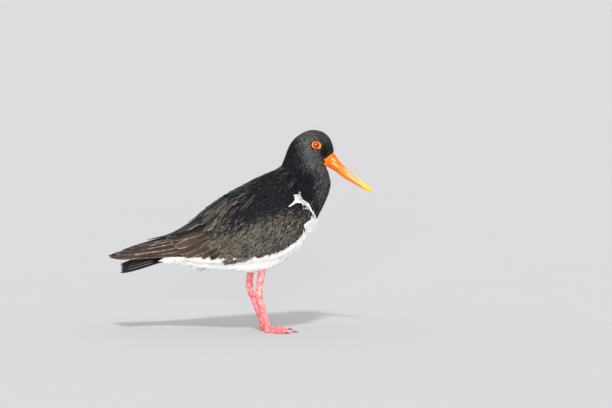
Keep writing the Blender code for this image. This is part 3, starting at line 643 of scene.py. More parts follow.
class Look:
    """A material under construction, with short ways to add and join its nodes."""

    def __init__(self, name, roughness, **constants):
        self.material = bpy.data.materials.new(name)
        self.material.use_nodes = True
        self.tree = self.material.node_tree
        self.shader = self.tree.nodes["Principled BSDF"]
        self.shader.inputs["Roughness"].default_value = roughness
        for socket, value in constants.items():
            self.shader.inputs[socket.replace("_", " ")].default_value = value

    def node(self, kind, *inputs, **options):
        """A shader node of a kind, with its first inputs joined or set, and None left as it is."""
        made = self.tree.nodes.new("ShaderNode" + kind)
        for key, value in options.items():
            setattr(made, key, value)
        for socket, value in enumerate(inputs):
            if value is None:
                continue
            if isinstance(value, bpy.types.NodeSocket):
                self.tree.links.new(value, made.inputs[socket])
            else:
                made.inputs[socket].default_value = value
        return made

    def calc(self, operation, *values):
        """What a sum on values gives."""
        return self.node("Math", *values, operation=operation).outputs[0]

    def times(self, product, *values):
        """All the values multiplied."""
        for value in values:
            product = self.calc("MULTIPLY", product, value)
        return product

    def value(self, label):
        """What value_on gave to the mesh."""
        return self.node("Attribute", attribute_name=label).outputs["Fac"]

    def spot(self):
        """The place on the piece, in metres."""
        return self.node("TexCoord").outputs["Object"]

    def stretched(self, where, *scale):
        """Places scaled along x, y and z, so that a pattern on them is stretched."""
        return self.node("Mapping", where, None, None, scale).outputs[0]

    def vane(self):
        """Across, from 0 at the shaft to 1 at the edge, and along, from 0 at the root to 1 at the tip."""
        both = self.node("SeparateXYZ", self.node("UVMap", uv_map="Vane").outputs[0])
        across = self.calc("ABSOLUTE", self.calc("MULTIPLY_ADD", both.outputs[0], 2.0, -1.0))
        return across, both.outputs[1]

    def noise(self, scale, detail=3.0, where=None):
        """Cloudy noise from 0 to 1."""
        made = self.node("TexNoise", where if where else self.spot())
        made.inputs["Scale"].default_value = scale
        made.inputs["Detail"].default_value = detail
        return made.outputs["Fac"]

    def range(self, value, low, high, new_low=0.0, new_high=1.0):
        """A value moved from one range to another and kept inside it."""
        return self.node("MapRange", value, low, high, new_low, new_high).outputs[0]

    def mix(self, share, first, second):
        """A share of the second colour over the first."""
        made = self.node("Mix", data_type="RGBA")
        for socket, value in (("Factor_Float", share), ("A_Color", first), ("B_Color", second)):
            target = next(s for s in made.inputs if s.identifier == socket)
            if isinstance(value, bpy.types.NodeSocket):
                self.tree.links.new(value, target)
            else:
                target.default_value = value if socket == "Factor_Float" else (*value, 1)
        return next(s for s in made.outputs if s.identifier == "Result_Color")

    def join(self, value, socket="Base Color"):
        """Joins a value to the shader."""
        self.tree.links.new(value, self.shader.inputs[socket])

    def bump(self, height, distance, strength=1.0):
        """Small relief from a pattern, its height in metres."""
        made = self.node("Bump")
        made.inputs["Strength"].default_value = strength
        made.inputs["Distance"].default_value = distance
        self.tree.links.new(height, made.inputs["Height"])
        self.join(made.outputs[0], "Normal")


def tinted(colour, share):
    """A colour made darker or brighter."""
    return [channel * share for channel in colour]


def barbs(look, count):
    """Fine lines that slant from the shaft of a feather to its edges."""
    across, along = look.vane()
    slant = look.calc("MULTIPLY_ADD", across, 0.22, look.times(along, -1.0))
    wave = look.calc("SINE", look.times(slant, float(count)))
    return look.range(wave, -1.0, 1.0)


def streaks(look, across_scale, along_scale):
    """Noise drawn out along each feather, unlike from one feather to the next."""
    both = look.node("SeparateXYZ", look.node("UVMap", uv_map="Vane").outputs[0])
    where = look.node("CombineXYZ", look.times(both.outputs[0], across_scale),
                      look.times(both.outputs[1], along_scale), look.times(look.value("Shade"), 90.0))
    return look.noise(1.0, where=where.outputs[0])


def dark_feathers(name, black, worn, rim, ribs, rib_depth, roughness, specular, rim_from=0.7):
    """Feathers from glossy black through black with bleached rims to worn brown, by their Worn value."""
    look = Look(name, roughness, Specular_IOR_Level=specular)
    across, along = look.vane()
    wear, shade = look.value("Worn"), look.value("Shade")
    fine = look.range(streaks(look, 7.0, 1.6), 0.38, 0.62)
    cloudy = look.calc("MULTIPLY_ADD", look.noise(75.0, 1.0), 1.4, -0.7)
    dull = look.mix(look.calc("ADD", shade, cloudy), tinted(worn, 0.2), tinted(worn, 1.8))
    brown = look.mix(look.times(fine, 0.4), dull, tinted(worn, 2.3))
    # The black is lightened in streaks toward four times its colour, as painted sheen on the glossy
    # feathers.
    black_with_painted_sheen = look.mix(look.times(fine, look.range(shade, 0.3, 1.0, 0.0, 0.8)), black,
                   tinted(black, 4))
    ground = look.mix(look.range(wear, 0.35, 1.0), black_with_painted_sheen, brown)
    lines = barbs(look, ribs)
    ground = look.mix(look.times(lines, rib_depth), ground, black)
    patchy = look.range(look.noise(260.0, 4.0), 0.4, 0.58, 0.35, 1.0)
    edge = look.range(across, rim_from, rim_from + 0.14)
    tip = look.range(along, 0.93, 1.0, 0.0, 0.35)
    pale = look.times(look.calc("MAXIMUM", edge, tip), look.range(wear, 0.06, 0.35), patchy)
    colour = look.mix(look.times(pale, look.range(shade, 0.1, 1.0, 0.2, 0.95)), ground, rim)
    shaft = look.times(look.range(across, 0.0, 0.1, 1.0, 0.0), 0.6)
    colour = look.mix(shaft, colour, black)
    look.join(colour)
    look.bump(lines, 0.00012, 0.5)
    return look.material


def white_feathers(white):
    """White feathers, a little darker in fine streaks, and at their roots as painted shade where they
    overlap.
    """
    look = Look("white_feathers", 0.75, Specular_IOR_Level=0.2)
    fine = look.range(streaks(look, 5.0, 1.2), 0.35, 0.65, 0.0, 0.4)
    _, along = look.vane()
    # Painted shade: the roots, where the feathers overlap, are darkened.
    root = look.range(along, 0.0, 0.5, 0.3, 0.0)
    share = look.calc("MAXIMUM", look.times(fine, look.value("Shade")), root)
    look.join(look.mix(share, white, tinted(white, 0.84)))
    look.bump(barbs(look, 60), 0.0001, 0.4)
    return look.material


def feather_looks(plumage):
    """The looks of all feathers, by name."""
    black, worn, rim = tuple(plumage.black), tuple(plumage.worn), tuple(plumage.rim)
    # The head's grey is partly worn tone and partly painted sunlit sheen.
    grey = (worn[0] * 0.82, worn[1] * 0.95, worn[2] * 1.12)
    grey_rim = (rim[0] * 0.72, rim[1] * 0.88, rim[2])
    rust = (worn[0] * 0.46, worn[1] * 0.335, worn[2] * 0.3)
    drab = tinted(worn, 0.71)
    sooty = tinted(worn, 0.05)
    wing_skin = Look("skin_under_wing", 0.8, Specular_IOR_Level=0.2)
    wing_skin.join(wing_skin.mix(wing_skin.noise(500.0), black, tinted(worn, 0.5)))
    return {
        "black": dark_feathers("black_feathers", black, worn, rim, 70, 0, 0.4, 0.055),
        "head": dark_feathers("head_feathers", black, grey, grey_rim, 40, 0, 0.5, 0.05),
        "covert": dark_feathers("wing_coverts", black, drab, rim, 120, 0.1, 0.4, 0.06),
        "flight": dark_feathers("flight_feathers", black, rust, rim, 200, 0.35, 0.5, 0.07, 0.76),
        "tail": dark_feathers("tail_feathers", black, sooty, rim, 420, 0, 0.5, 0.06, 0.82),
        "white": white_feathers(plumage.white),
        "wing_skin": wing_skin.material,
    }


def skin_look(black, white):
    """The skin under the coat, in the coat's own colours."""
    look = Look("skin_under_feathers", 0.8, Specular_IOR_Level=0.2)
    grain = look.noise(900.0)
    dark = look.mix(grain, tinted(black, 0.7), black)
    pale = look.mix(grain, tinted(white, 0.9), white)
    look.join(look.mix(look.value("White"), dark, pale))
    look.bump(grain, 0.0003)
    return look.material


def coat_depth(place, depth):
    """How deep the skin lies under the coat: least on the face, most on the trunk."""
    return np.interp(place, *DEPTH_ALONG) * depth


def make_skin(plumage):
    """One skin over trunk, neck and head."""
    def place(along, around):
        position = along * BODY_TO
        points, _, _, out = lie(body_surface, position, (around * 2 - 1) * math.pi)
        x, z = side_place(points)
        off_eye = np.hypot(x - EYE_CENTRE[0], z - EYE_CENTRE[1]) / SOCKET_RADIUS
        socket = SOCKET_DEPTH * MM * np.clip(1.4 - 1.4 * off_eye**2, 0, 1) * (np.abs(points[:, 1]) > 0.01)
        return points - out * (coat_depth(position, plumage.depth) + socket)[:, None]

    mesh = mesh_of("skin", net(150, 72, place, merge=0.00002))
    value_on(mesh, "White", inside_white(places_of(mesh)))
    look = skin_look(plumage.black, plumage.white)
    placed("skin", mesh, look, "torso", ("torso", "neck", "head"))


def wing_cover(side):
    """A mesh of the middle of a folded wing, which hides what grows under it."""
    def place(along, down):
        return wing_surface(0.4 + along * 11, down * 0.9) * (1, side, 1)

    bm = net(40, 20, place)
    tree = BVHTree.FromBMesh(bm)
    bm.free()
    return tree


def hidden(points, outward, trees):
    """Which points lie under a wing: the way from 3 mm inside to 27 mm outside meets one."""
    found = []
    for point, way in zip(points, outward):
        start, along = Vector(point) - Vector(way) * 0.003, Vector(way)
        found.append(any(tree.ray_cast(start, along, 0.03)[0] is not None for tree in trees))
    return np.array(found)


def scattered(surface, start, end, low, high, gap, rng):
    """Rows of places over a surface, from one place back to another, a gap in millimetres apart."""
    places, shares = [], []
    line = np.linspace(low, high, 97)
    place = float(start)
    while place > end:
        apart = gap(place) * MM
        spots, ahead, _, _ = lie(surface, np.full_like(line, place), line)
        reach = np.concatenate([[0], np.cumsum(np.linalg.norm(np.diff(spots, axis=0), axis=1))])
        count = int(reach[-1] / (apart * 1.15))
        along = (np.arange(count) + rng.uniform(0, 1, count)) / count * reach[-1]
        shares.append(np.interp(along, reach, line))
        pace = np.linalg.norm(ahead, axis=1).mean()
        places.append(place + rng.uniform(-0.5, 0.5, count) * apart / pace)
        place -= apart / pace
    return np.concatenate(places), np.concatenate(shares)


def small_feathers(plumage, place, turn, rng):
    """Seeds of body feathers at places, each a little unlike the next."""
    count = len(place)
    length = np.interp(place, *BODY_LENGTHS) * rng.uniform(0.85, 1.2, count)
    depth = coat_depth(place, plumage.depth) / MM
    return seeds_of(
        count, u=place, v=turn, heading=rng.normal(0, 0.25, count), curl=rng.normal(0, 0.25, count),
        length=length, width=length * rng.uniform(0.3, 0.45, count), sink=depth * 1.1,
        rise=depth * rng.uniform(0.1, 0.4, count), tilt=rng.normal(0, 0.12, count) * depth / 2,
        crown=0.05 * length, thick=0.1, worn=0, shade=rng.uniform(0, 1, count))


def chosen(seeds, keep):
    """Some of the seeds."""
    return Seeds(*(values[keep] for values in seeds))


def off_bare_skin(points):
    """Which feathers, of (count, points of one, 3), keep clear of the eye rings and the gape."""
    x, z = side_place(points)
    away = np.hypot((x - EYE_CENTRE[0]) / CLEAR_ROUND_EYE[0], (z - EYE_CENTRE[1]) / CLEAR_ROUND_EYE[1])
    top, low = gape_edges(x)
    bare = (x > GAPE_REACH[0]) & (z < top) & (z > low)
    return (away.min(1) > 1) & ~bare.any(1)


def gape_edges(x):
    """The heights of the upper and lower edges of the bare gape at the side of the face."""
    share = np.clip((x - GAPE_REACH[0]) / (GAPE_REACH[1] - GAPE_REACH[0]), 0, 1)
    notch = GAPE_NOTCH * np.exp(-((x - GAPE_REACH[0] - 2.6) / 1.3) ** 2)
    top = GAPE_TOP[0] + (GAPE_TOP[1] - GAPE_TOP[0]) * share**1.5 - notch
    return top, GAPE_LOW[0] + (GAPE_LOW[1] - GAPE_LOW[0]) * share


def make_body_coat(plumage, looks):
    """The small feathers of the head, the neck and the white and black of the trunk."""
    rng = np.random.default_rng(plumage.seed)

    def gap(place):
        return plumage.closeness * np.interp(place, *BODY_LENGTHS)

    place, turn = scattered(body_surface, BODY_TO - 0.15, 0.3, -math.pi, math.pi, gap, rng)
    points, _, _, outward = lie(body_surface, place, turn)
    covers = [wing_cover(LEFT), wing_cover(RIGHT)]
    shown = np.ones(len(place), bool)
    trunk = place < NECK_FROM + 1
    shown[trunk] = ~hidden(points[trunk], outward[trunk], covers)
    x, z = side_place(points)
    lower = points.copy()
    lower[:, 2] -= np.interp(x, *WHITE_UNDER_WING) * MM
    white = (inside_white(lower) | inside_white(points)) & (place < NECK_FROM + 2)
    seeds = small_feathers(plumage, place, turn, rng)
    # The grey of the head is partly painted sunlit sheen on the face; the nape and throat stay darker as
    # partly painted shade, and the lores darker still as painted shadow.
    pale = np.interp(x + 0.25 * (z - 250), *HEAD_WEAR_AND_PAINTED_SHEEN)
    pale += (np.interp(x, *THROAT_WEAR_AND_PAINTED_SHADE) - pale) * np.interp(z, THROAT_HEIGHTS, (1, 0))
    pale *= 1 - LORES_PAINTED_SHADOW * np.exp(-((x - LORES[0]) / LORES[2]) ** 2 - ((z - LORES[1]) / LORES[3]) ** 2)
    fluff = np.exp(-((x - FLUFF_MIDDLE) / FLUFF_REACH) ** 2) * np.clip((FLUFF_TOP - z) / 8, 0, 1)
    seeds = seeds._replace(
        worn=np.clip(pale + rng.normal(0, 0.08, len(x)), 0, 1) * (place > NECK_FROM),
        rise=seeds.rise + fluff * rng.uniform(0.5, FLUFF_RISE, len(x)),
        heading=seeds.heading + fluff * rng.normal(0, 0.3, len(x)))
    spread = ((-1, BODY_TO), (-math.pi, math.pi))
    zones = (
        ("coat_head", place > HEAD_FROM + 1.2, looks["head"], "head", off_bare_skin),
        ("coat_neck", (place <= HEAD_FROM + 1.2) & ~white, looks["head"], "neck", off_bare_skin),
        ("coat_belly", white, looks["white"], "torso", None),
    )
    for name, zone, look, slot, clear in zones:
        some = chosen(seeds, zone & shown)
        coat = coat_of(body_surface, some, TUFT, rng, patches(some, spread, 0.003), clear=clear)
        coat_piece(name, coat, look, slot)


def outer_field():
    """How far out the bird's side reaches at places of the side view, from a grid of rays."""
    bodies = bmesh.new()
    mesh = bpy.data.meshes.new("shapes")
    for surface, ends, width in ((body_surface, (0, BODY_TO), (0, math.pi)),
                                 (wing_surface, (0.3, WING_TO), (0, 1))):
        def place(along, across, surface=surface, ends=ends, width=width):
            return surface(ends[0] + (ends[1] - ends[0]) * along, width[0] + (width[1] - width[0]) * across)
        net(120, 60, place).to_mesh(mesh)
        bodies.from_mesh(mesh)
    tree = BVHTree.FromBMesh(bodies)
    bodies.free()
    bpy.data.meshes.remove(mesh)
    xs, zs = np.arange(-130, 145, 2.0), np.arange(76, 284, 2.0)
    found = np.zeros((len(xs), len(zs)))
    for i, x in enumerate(xs):
        for k, z in enumerate(zs):
            hit = tree.ray_cast(Vector((x * MM + AHEAD, 0.2, z * MM)), Vector((0, -1, 0)), 0.2)[0]
            found[i, k] = hit.y / MM if hit else 0
    for axis in (0, 1):
        found = np.maximum(found, np.maximum(np.roll(found, 1, axis), np.roll(found, -1, axis)))
    for _ in range(2):
        for axis in (0, 1):
            found = (np.roll(found, 1, axis) + 2 * found + np.roll(found, -1, axis)) / 4
    return xs, zs, found


def side_surface(field):
    """A surface over the bird's left side: place runs forward and share down, in centimetres."""
    xs, zs, found = field

    def surface(place, share):
        x, z = place * 10, -share * 10
        i, k = (x - xs[0]) / (xs[1] - xs[0]), (z - zs[0]) / (zs[1] - zs[0])
        low_i = np.clip(i.astype(int), 0, len(xs) - 2)
        low_k = np.clip(k.astype(int), 0, len(zs) - 2)
        s, t = np.clip(i - low_i, 0, 1), np.clip(k - low_k, 0, 1)
        y = (found[low_i, low_k] * (1 - s) * (1 - t) + found[low_i + 1, low_k] * s * (1 - t)
             + found[low_i, low_k + 1] * (1 - s) * t + found[low_i + 1, low_k + 1] * s * t)
        return in_row(x, y, z)

    return surface


def white_tufts(surface, rng):
    """Seeds of the white tufts of the spur and the two dots, then of those that lap the wing's edge."""
    (x0, x1), (z0, z1) = SPUR_REACH
    tries = int((x1 - x0) * (z1 - z0) * SPUR_DENSITY)
    x, z = rng.uniform(x0, x1, tries), rng.uniform(z0, z1, tries)
    inside = surface(x / 10, -z / 10)[:, 1] > SPUR_FIELD * MM
    for share in (0.1, 0.55):
        shift = SPUR_LENGTH * share
        inside &= inside_white(in_row(x - shift * 0.8, 0, z - shift * 0.6))
    laps = int((LAP_REACH[1] - LAP_REACH[0]) * LAP_DENSITY)
    lap_x = rng.uniform(*LAP_REACH, laps)
    lap_z = np.interp(lap_x, WING[:, 2], WING[:, 3]) - LAP_UNDER_EDGE + rng.uniform(-2.2, 1.2, laps)
    dots_x, dots_z = (np.repeat(places, DOT_TUFTS) for places in WHITE_DOTS)
    x, z = np.concatenate([x[inside], dots_x, lap_x]), np.concatenate([z[inside], dots_z, lap_z])
    count = len(x)
    spurs = count - laps
    of_spur = np.arange(count) < spurs
    length = np.where(of_spur, SPUR_LENGTH, LAP_LENGTH) * rng.uniform(0.75, 1.2, count)
    heading = np.where(of_spur, math.radians(SPUR_HEADING), math.radians(LAP_HEADING))
    front = np.interp(lap_x, LAP_FRONT, (1, 0))
    return seeds_of(
        count, u=x / 10, v=-z / 10, heading=heading + rng.normal(0, 0.22, count),
        curl=rng.normal(0, 0.3, count), length=length, width=length * rng.uniform(0.16, 0.28, count),
        sink=0.6, rise=np.concatenate([rng.uniform(1.9, 3.9, spurs), rng.uniform(0.6, 1.9, laps) * front]),
        tilt=rng.normal(0, 0.15, count), crown=0.25, thick=0.1, worn=0, shade=rng.uniform(0, 1, count))


def brown_tuft(rng):
    """Seeds of the brown tuft that hangs from the wing's lower edge."""
    count = BROWN_TUFT_COUNT
    x, z = rng.uniform(*BROWN_TUFT_REACH, count), rng.uniform(*BROWN_TUFT_HEIGHT, count)
    length = rng.uniform(6, 12, count)
    return seeds_of(
        count, u=x / 10, v=-z / 10, heading=np.radians(rng.normal(BROWN_TUFT_HEADING, 9, count)),
        curl=rng.normal(-0.6, 0.2, count), length=length, width=length * rng.uniform(0.12, 0.2, count),
        sink=0.6, rise=rng.uniform(2.4, 3.6, count), tilt=rng.normal(0, 0.15, count), crown=0.25,
        thick=0.1, worn=1, shade=rng.uniform(0.4, 1, count))


def make_side_tufts(plumage, looks):
    """Fine feathers on both sides where the white runs up before the wing and laps the wing's edge."""
    rng = np.random.default_rng(plumage.seed + 40)
    surface = side_surface(outer_field())
    for name, seeds, look, slot in (("coat_side_white", white_tufts(surface, rng), "white", "torso"),
                                    ("wing_brown_tufts", brown_tuft(rng), "covert", "wings")):
        layout = patches(seeds, ((-13, 15), (-28, -7)), 0.003)
        coats = [coat_of(surface, seeds, TUFT, rng, layout, side) for _, side in SIDES]
        coat_piece(name, joined(coats), looks[look], slot)


def tier(count, start, end, heading, length, width, rise, worn, rng, thick=0.35, crown=0.5, tilt=0.5,
         sink=1.1, loose=0.06):
    """Seeds of a row of feathers from one (place, share) to another; each pair runs from first to last."""
    t = np.linspace(0, 1, count)
    heading, length, width, rise, worn = (a + (b - a) * t for a, b in (heading, length, width, rise, worn))
    jitter = [rng.uniform(-1, 1, count) for _ in range(6)]
    return seeds_of(
        count, u=start[0] + (end[0] - start[0]) * t + jitter[0] * loose,
        v=start[1] + (end[1] - start[1]) * t + jitter[1] * loose * 0.12,
        heading=np.radians(heading + jitter[2] * 3), curl=jitter[3] * 0.05,
        length=length * (1 + 0.05 * jitter[4]), width=width, sink=sink, rise=rise, tilt=tilt, crown=crown,
        thick=thick, worn=np.clip(worn + 0.12 * jitter[5], 0, 1), shade=rng.uniform(0, 1, count))


def flow(x, z):
    """How steeply the wing's feathers run down to the rear at places of the side view."""
    low, high = np.interp(x, *FLOW_LOW), np.interp(x, *FLOW_HIGH)
    above = np.clip((z - np.interp(x, *GLOSS_LINE)) / GLOSS_FADE + 0.5, 0, 1)
    return np.radians(low + (high - low) * above)


def with_flow(seeds, rng, loose):
    """Feathers of the wing turned so that in the side view they run as the wing's feathers do."""
    middle, ahead, aside, _ = lie(wing_surface, seeds.u, seeds.v)
    angle = flow(*side_place(middle))
    back = -unit(ahead)
    down = unit(aside - back * dot(aside, back))
    far_back = -np.cos(angle) * back[:, 2] + np.sin(angle) * back[:, 0]
    far_down = -np.cos(angle) * down[:, 2] + np.sin(angle) * down[:, 0]
    aside_ridge = np.clip(seeds.v / RIDGE_SHARE, 0, 1)
    by_edge = 1 - EDGE_FLAT * np.clip((seeds.v - EDGE_SHARE) / (1 - EDGE_SHARE), 0, 1)
    heading = np.arctan2(-far_back, far_down) * aside_ridge * by_edge + rng.normal(0, loose, len(angle))
    return seeds._replace(heading=heading)


def worn_by_place(seeds, rng):
    """Feathers of the wing with their wear taken from where they lie."""
    x, z = side_place(wing_surface(seeds.u, seeds.v))
    x, z = x - 0.5 * seeds.length, z - 0.45 * seeds.length
    return seeds._replace(worn=np.maximum(wear_at(x, z), scattered_wear(x, seeds.v, rng)))


def together(*rows):
    """Several rows of seeds as one."""
    return Seeds(*(np.concatenate(values) for values in zip(*rows)))


def drawn_feathers(rows, rng):
    """Seeds of feathers of the wing whose roots and tips are known in the side view."""
    x0, z0, x1, z1, width, rise, worn, bend = np.array(rows, float).T
    grid_u, grid_v = (g.ravel() for g in np.meshgrid(np.linspace(0, WING_TO, 241), np.linspace(0.02, 1, 99)))
    grid_x, grid_z = side_place(wing_surface(grid_u, grid_v))
    nearest = np.hypot(grid_x[:, None] - x0, grid_z[:, None] - z0).argmin(0)
    u, v = grid_u[nearest], grid_v[nearest]
    root_x, root_z = grid_x[nearest], grid_z[nearest]
    wanted_turn, wanted_reach = np.arctan2(root_z - z1, root_x - x1), np.hypot(root_x - x1, root_z - z1)
    heading, length = wanted_turn.copy(), wanted_reach.copy()
    for _ in range(6):
        x, z = side_place(tips_of(wing_surface, u, v, heading, bend, length))
        heading += wanted_turn - np.arctan2(root_z - z, root_x - x)
        length *= wanted_reach / np.hypot(root_x - x, root_z - z)
    count = len(rows)
    shade = np.where(np.arange(count) % 2, 0.45, 1) - rng.uniform(0, 0.1, count)
    return seeds_of(count, u=u, v=v, heading=heading, curl=bend, length=length, width=width, sink=1.1,
                    rise=rise, tilt=0.5, crown=0.6, thick=0.4, worn=worn, shade=shade)


def tips_of(surface, u, v, heading, curl, length, steps=8):
    """Where feathers end that grow from places of a surface."""
    for _ in range(steps):
        _, ahead, aside, _ = lie(surface, u, v)
        back = -unit(ahead)
        down = unit(aside - back * dot(aside, back))
        forward = back * np.cos(heading)[:, None] + down * np.sin(heading)[:, None]
        u, v = slid(u, v, ahead, aside, forward * (length * MM / steps)[:, None])
        heading = heading + curl / steps
    return surface(u, v)


def flight_seeds(rng):
    """The long feathers of the folded wing: primaries, secondaries and tertials."""
    return together(
        tier(8, (4.8, 0.2), (5.0, 0.78), (0, 0), (72, 123), (12, 10.5), (0.1, 1.3), (0.6, 0.8), rng,
             thick=0.4, crown=0.35, loose=0.02),
        tier(9, (5.5, 0.5), (6.6, 0.87), (3, 8), (46, 58), (15, 15), (0.4, 1.2), (0.9, 0.9), rng,
             thick=0.4, crown=0.4, loose=0.03),
        tier(5, (7.2, 0.07), (7.0, 0.3), (1, 3), (124, 80), (15, 15), (1.3, 1.8), (0.1, 0.7), rng,
             thick=0.4, crown=0.5, loose=0.03),
        drawn_feathers(WING_FEATHERS, rng),
    )


def wear_at(x, z):
    """How brown the wing is worn at places of the side view."""
    below = (np.interp(x, *GLOSS_LINE) - z) / GLOSS_FADE + 0.5
    return np.clip(below, 0, 1) * np.interp(x, *WEAR_FORWARD)


def scattered_wear(x, share, rng):
    """Wear of the few pale feathers among the glossy ones: more to the rear, none on the ridge."""
    count = len(x)
    chance = np.interp(x, *PALE_AMONG_GLOSSY) * np.interp(share, (0.04, 0.18), (0.1, 1))
    pale = rng.uniform(0, 1, count) < chance
    return np.where(pale, rng.uniform(0.3, 0.95, count), rng.uniform(0, 0.24, count) ** 1.2)


def covert_seeds(rng):
    """Rows of broad coverts, the ground of the wing under its finer feathers."""
    rows = [
        tier(12, (7.0, 0.44), (8.3, 0.9), (0, 0), (36, 30), (10, 10), (1.7, 1.7), (0.85, 0.85), rng),
        tier(12, (7.9, 0.44), (9.2, 0.89), (0, 0), (28, 25), (9, 9), (1.8, 1.8), (0.75, 0.8), rng),
        tier(12, (8.6, 0.44), (9.9, 0.88), (0, 0), (22, 20), (9, 9), (1.9, 1.9), (0.7, 0.8), rng),
    ]
    for k in range(COVERT_ROWS):
        start = 9.2 + 0.35 * k
        rows.append(tier(13, (start, 0.46), (start + 1.25, 0.86), (0, 0), (19 - k, 16 - k), (8, 8),
                         (2.0, 2.0), (0.6, 0.7), rng, loose=0.12))
    return worn_by_place(with_flow(together(*rows), rng, 0.06), rng)


def fine_seeds(rng):
    """Narrow, ragged feathers over the coverts and the shoulder, which give the wing its streaks."""
    u, v = scattered(wing_surface, 12.1, 6.4, 0.02, 0.93, lambda _: FINE_GAP, rng)
    x, z = side_place(wing_surface(u, v))
    keep = x > np.interp(v, *FINE_REAR) + rng.uniform(-14, 14, len(u))
    u, v, x, z = u[keep], v[keep], x[keep], z[keep]
    count = len(u)
    length = np.interp(u, (6.5, 9, 12), (30, 21, 12)) * rng.uniform(0.7, 1.25, count)
    length = np.minimum(length, 3 + (0.99 - v) * 75)
    wear = wear_at(x, z) * (1 + rng.normal(0, 0.15, count))
    wear = wear * np.where(rng.uniform(0, 1, count) < 0.2, 0.3, 1)
    wear = np.maximum(wear, scattered_wear(x, v, rng))
    seeds = seeds_of(
        count, u=u, v=v, heading=0, curl=rng.normal(0.05, 0.2, count), length=length,
        width=rng.uniform(1.5, 2.6, count), sink=0.4, rise=rng.uniform(2.1, 2.9, count),
        tilt=rng.normal(0.1, 0.25, count), crown=0.3, thick=0.15, worn=np.clip(wear, 0, 1),
        shade=rng.uniform(0, 1, count) ** 1.3)
    return with_flow(seeds, rng, 0.13)


def scapular_seeds(rng):
    """The long glossy feathers over the shoulder, which lie on the tertials and coverts."""
    rows = []
    for k in range(SCAPULAR_ROWS):
        start = 6.5 + 0.6 * k
        t = k / (SCAPULAR_ROWS - 1)
        rows.append(tier(19, (start, 0.03), (start + 0.6, 0.46), (0, 0), (44 - 22 * t, 38 - 18 * t),
                         (6.5 - 2 * t, 6 - 2 * t), (2.1, 2.3), (0, 0), rng, thick=0.25, crown=0.4,
                         tilt=0.4, loose=0.3))
    return with_flow(together(*rows), rng, 0.08)


def under_wing(along, around):
    """Points round the sheet of skin in a wing: its outer face, then back along its inner one."""
    position = 0.6 + along * 11.2
    around = around * 2
    deep = np.where(around < 1, 1.3, 3.0)
    share = np.where(around < 1, around, 2 - around) * 0.94 + 0.02
    points, _, _, out = lie(wing_surface, position, share)
    deep = deep + np.interp(position, (9.5, 11.8), (0, 2.5))
    return points - out * deep[:, None] * MM


def make_wings(plumage, looks):
    """Both folded wings: a skin sheet, then flight feathers, coverts and finer feathers over it."""
    for name, side in SIDES:
        rng = np.random.default_rng(plumage.seed + 5 + side)
        bm = net(60, 65, under_wing, merge=0.00001)
        if side == RIGHT:
            mirror(bm)
        placed(f"wing_{name}_skin", mesh_of("wing_skin", bm), looks["wing_skin"], "wings",
               (f"wing_{name}",))
        flights = flight_seeds(rng)
        coat = coat_of(wing_surface, flights, FLIGHT, rng, strips(len(flights.u)), side, fray=0.5)
        coat_piece(f"wing_{name}_flight", coat, looks["flight"], "wings")
        spread = ((4, 13), (0, 1))
        for part, seeds, cut, size, fray in (
                ("coverts", covert_seeds(rng), COVERT, 0.02, 0.5),
                ("scapulars", worn_by_place(scapular_seeds(rng), rng), COVERT, 0.02, 0.4),
                ("fine", fine_seeds(rng), TUFT, 0.003, 0)):
            coat = coat_of(wing_surface, seeds, cut, rng, patches(seeds, spread, size), side, fray=fray)
            coat_piece(f"wing_{name}_{part}", coat, looks["covert"], "wings")


def make_mantle(plumage, looks):
    """The feathers of the upper back, over the roots of both wings."""
    rng = np.random.default_rng(plumage.seed + 20)
    rows = []
    for k in range(MANTLE_ROWS):
        start = 8.2 + 0.34 * k
        t = k / (MANTLE_ROWS - 1)
        reach = 0.2 + 0.3 * t
        rows.append(tier(2 * int(9 + 9 * t), (start, -reach), (start, reach), (-8, 8), (20 - 11 * t,) * 2,
                         (6 - 2 * t,) * 2, (2.6 - 0.5 * t,) * 2, (0.15, 0.15), rng, tilt=0.0, loose=0.25,
                         sink=1.0))
    rows.append(tier(7, (6.7, 0), (8.6, 0), (0, 0), (36, 22), (8, 8), (2.3, 2.7), (0.1, 0.1), rng, tilt=0.0,
                     loose=0.1, sink=1.0))
    seeds = together(*rows)
    coat = coat_of(wing_surface, seeds, COVERT, rng, patches(seeds, ((6, 14), (-0.6, 0.6)), 0.012), fray=0.2)
    coat_piece("coat_mantle", coat, looks["black"], "torso")


def make_tail(plumage, looks):
    """Twelve tail feathers in two halves that meet in the middle."""
    rng = np.random.default_rng(plumage.seed + 30)
    count = TAIL_FEATHERS
    t = np.linspace(0, 1, count)
    coats = []
    for _, side in SIDES:
        seeds = seeds_of(
            count, u=0.84, v=0.07 + 0.77 * t, heading=0, curl=0, length=65 + 1.5 * t**2, width=11.5,
            sink=0.6, rise=1.2 - 2 * t, tilt=0.5, crown=0.5, thick=0.4,
            worn=rng.uniform(0.12, 0.3, count), shade=rng.uniform(0.4, 1, count))
        coats.append(coat_of(tail_surface, seeds, FLIGHT, rng, strips(count), side, fray=0.3))
    coat_piece("tail_feathers", joined(coats), looks["tail"], "tail", ("tail",))


def bill_half(line, steps, sides, upper):
    """One half of the bill, arched from the line where the halves meet to its ridge or keel."""
    table = np.array([(*far, *near, half) for far, near, half in zip(line, BILL_MEETING, BILL_HALF_WIDTHS)])

    def place(along, around):
        far_x, far_z, near_x, near_z, half = curve_at(table, along * (len(table) - 1)).T
        half = half * np.interp(along, (0, 0.985, 1), (1, 1, 0.55))
        around = around * 1.25
        arch = np.clip(around, 0, 1)
        out, high = rounded(math.pi * (arch - 0.5), BILL_SQUARENESS)
        base = np.clip((around - 1) / 0.25, 0, 1)
        out = np.where(around > 1, 1 - 2 * base, out)
        high = np.where(around > 1, 0, high)
        up_x, up_z = far_x - near_x, far_z - near_z
        size = np.hypot(up_x, up_z)
        start = GAP / 2 / size
        share = start + (1 - start) * high
        if upper:
            groove = groove_depth(near_x + up_x * share, near_z + up_z * share)
            out = out * (1 - groove * 0.55 / np.maximum(half, 1))
        return in_row(near_x + up_x * share, half * out, near_z + up_z * share)

    return net(steps, sides, place, merge=0.00002)


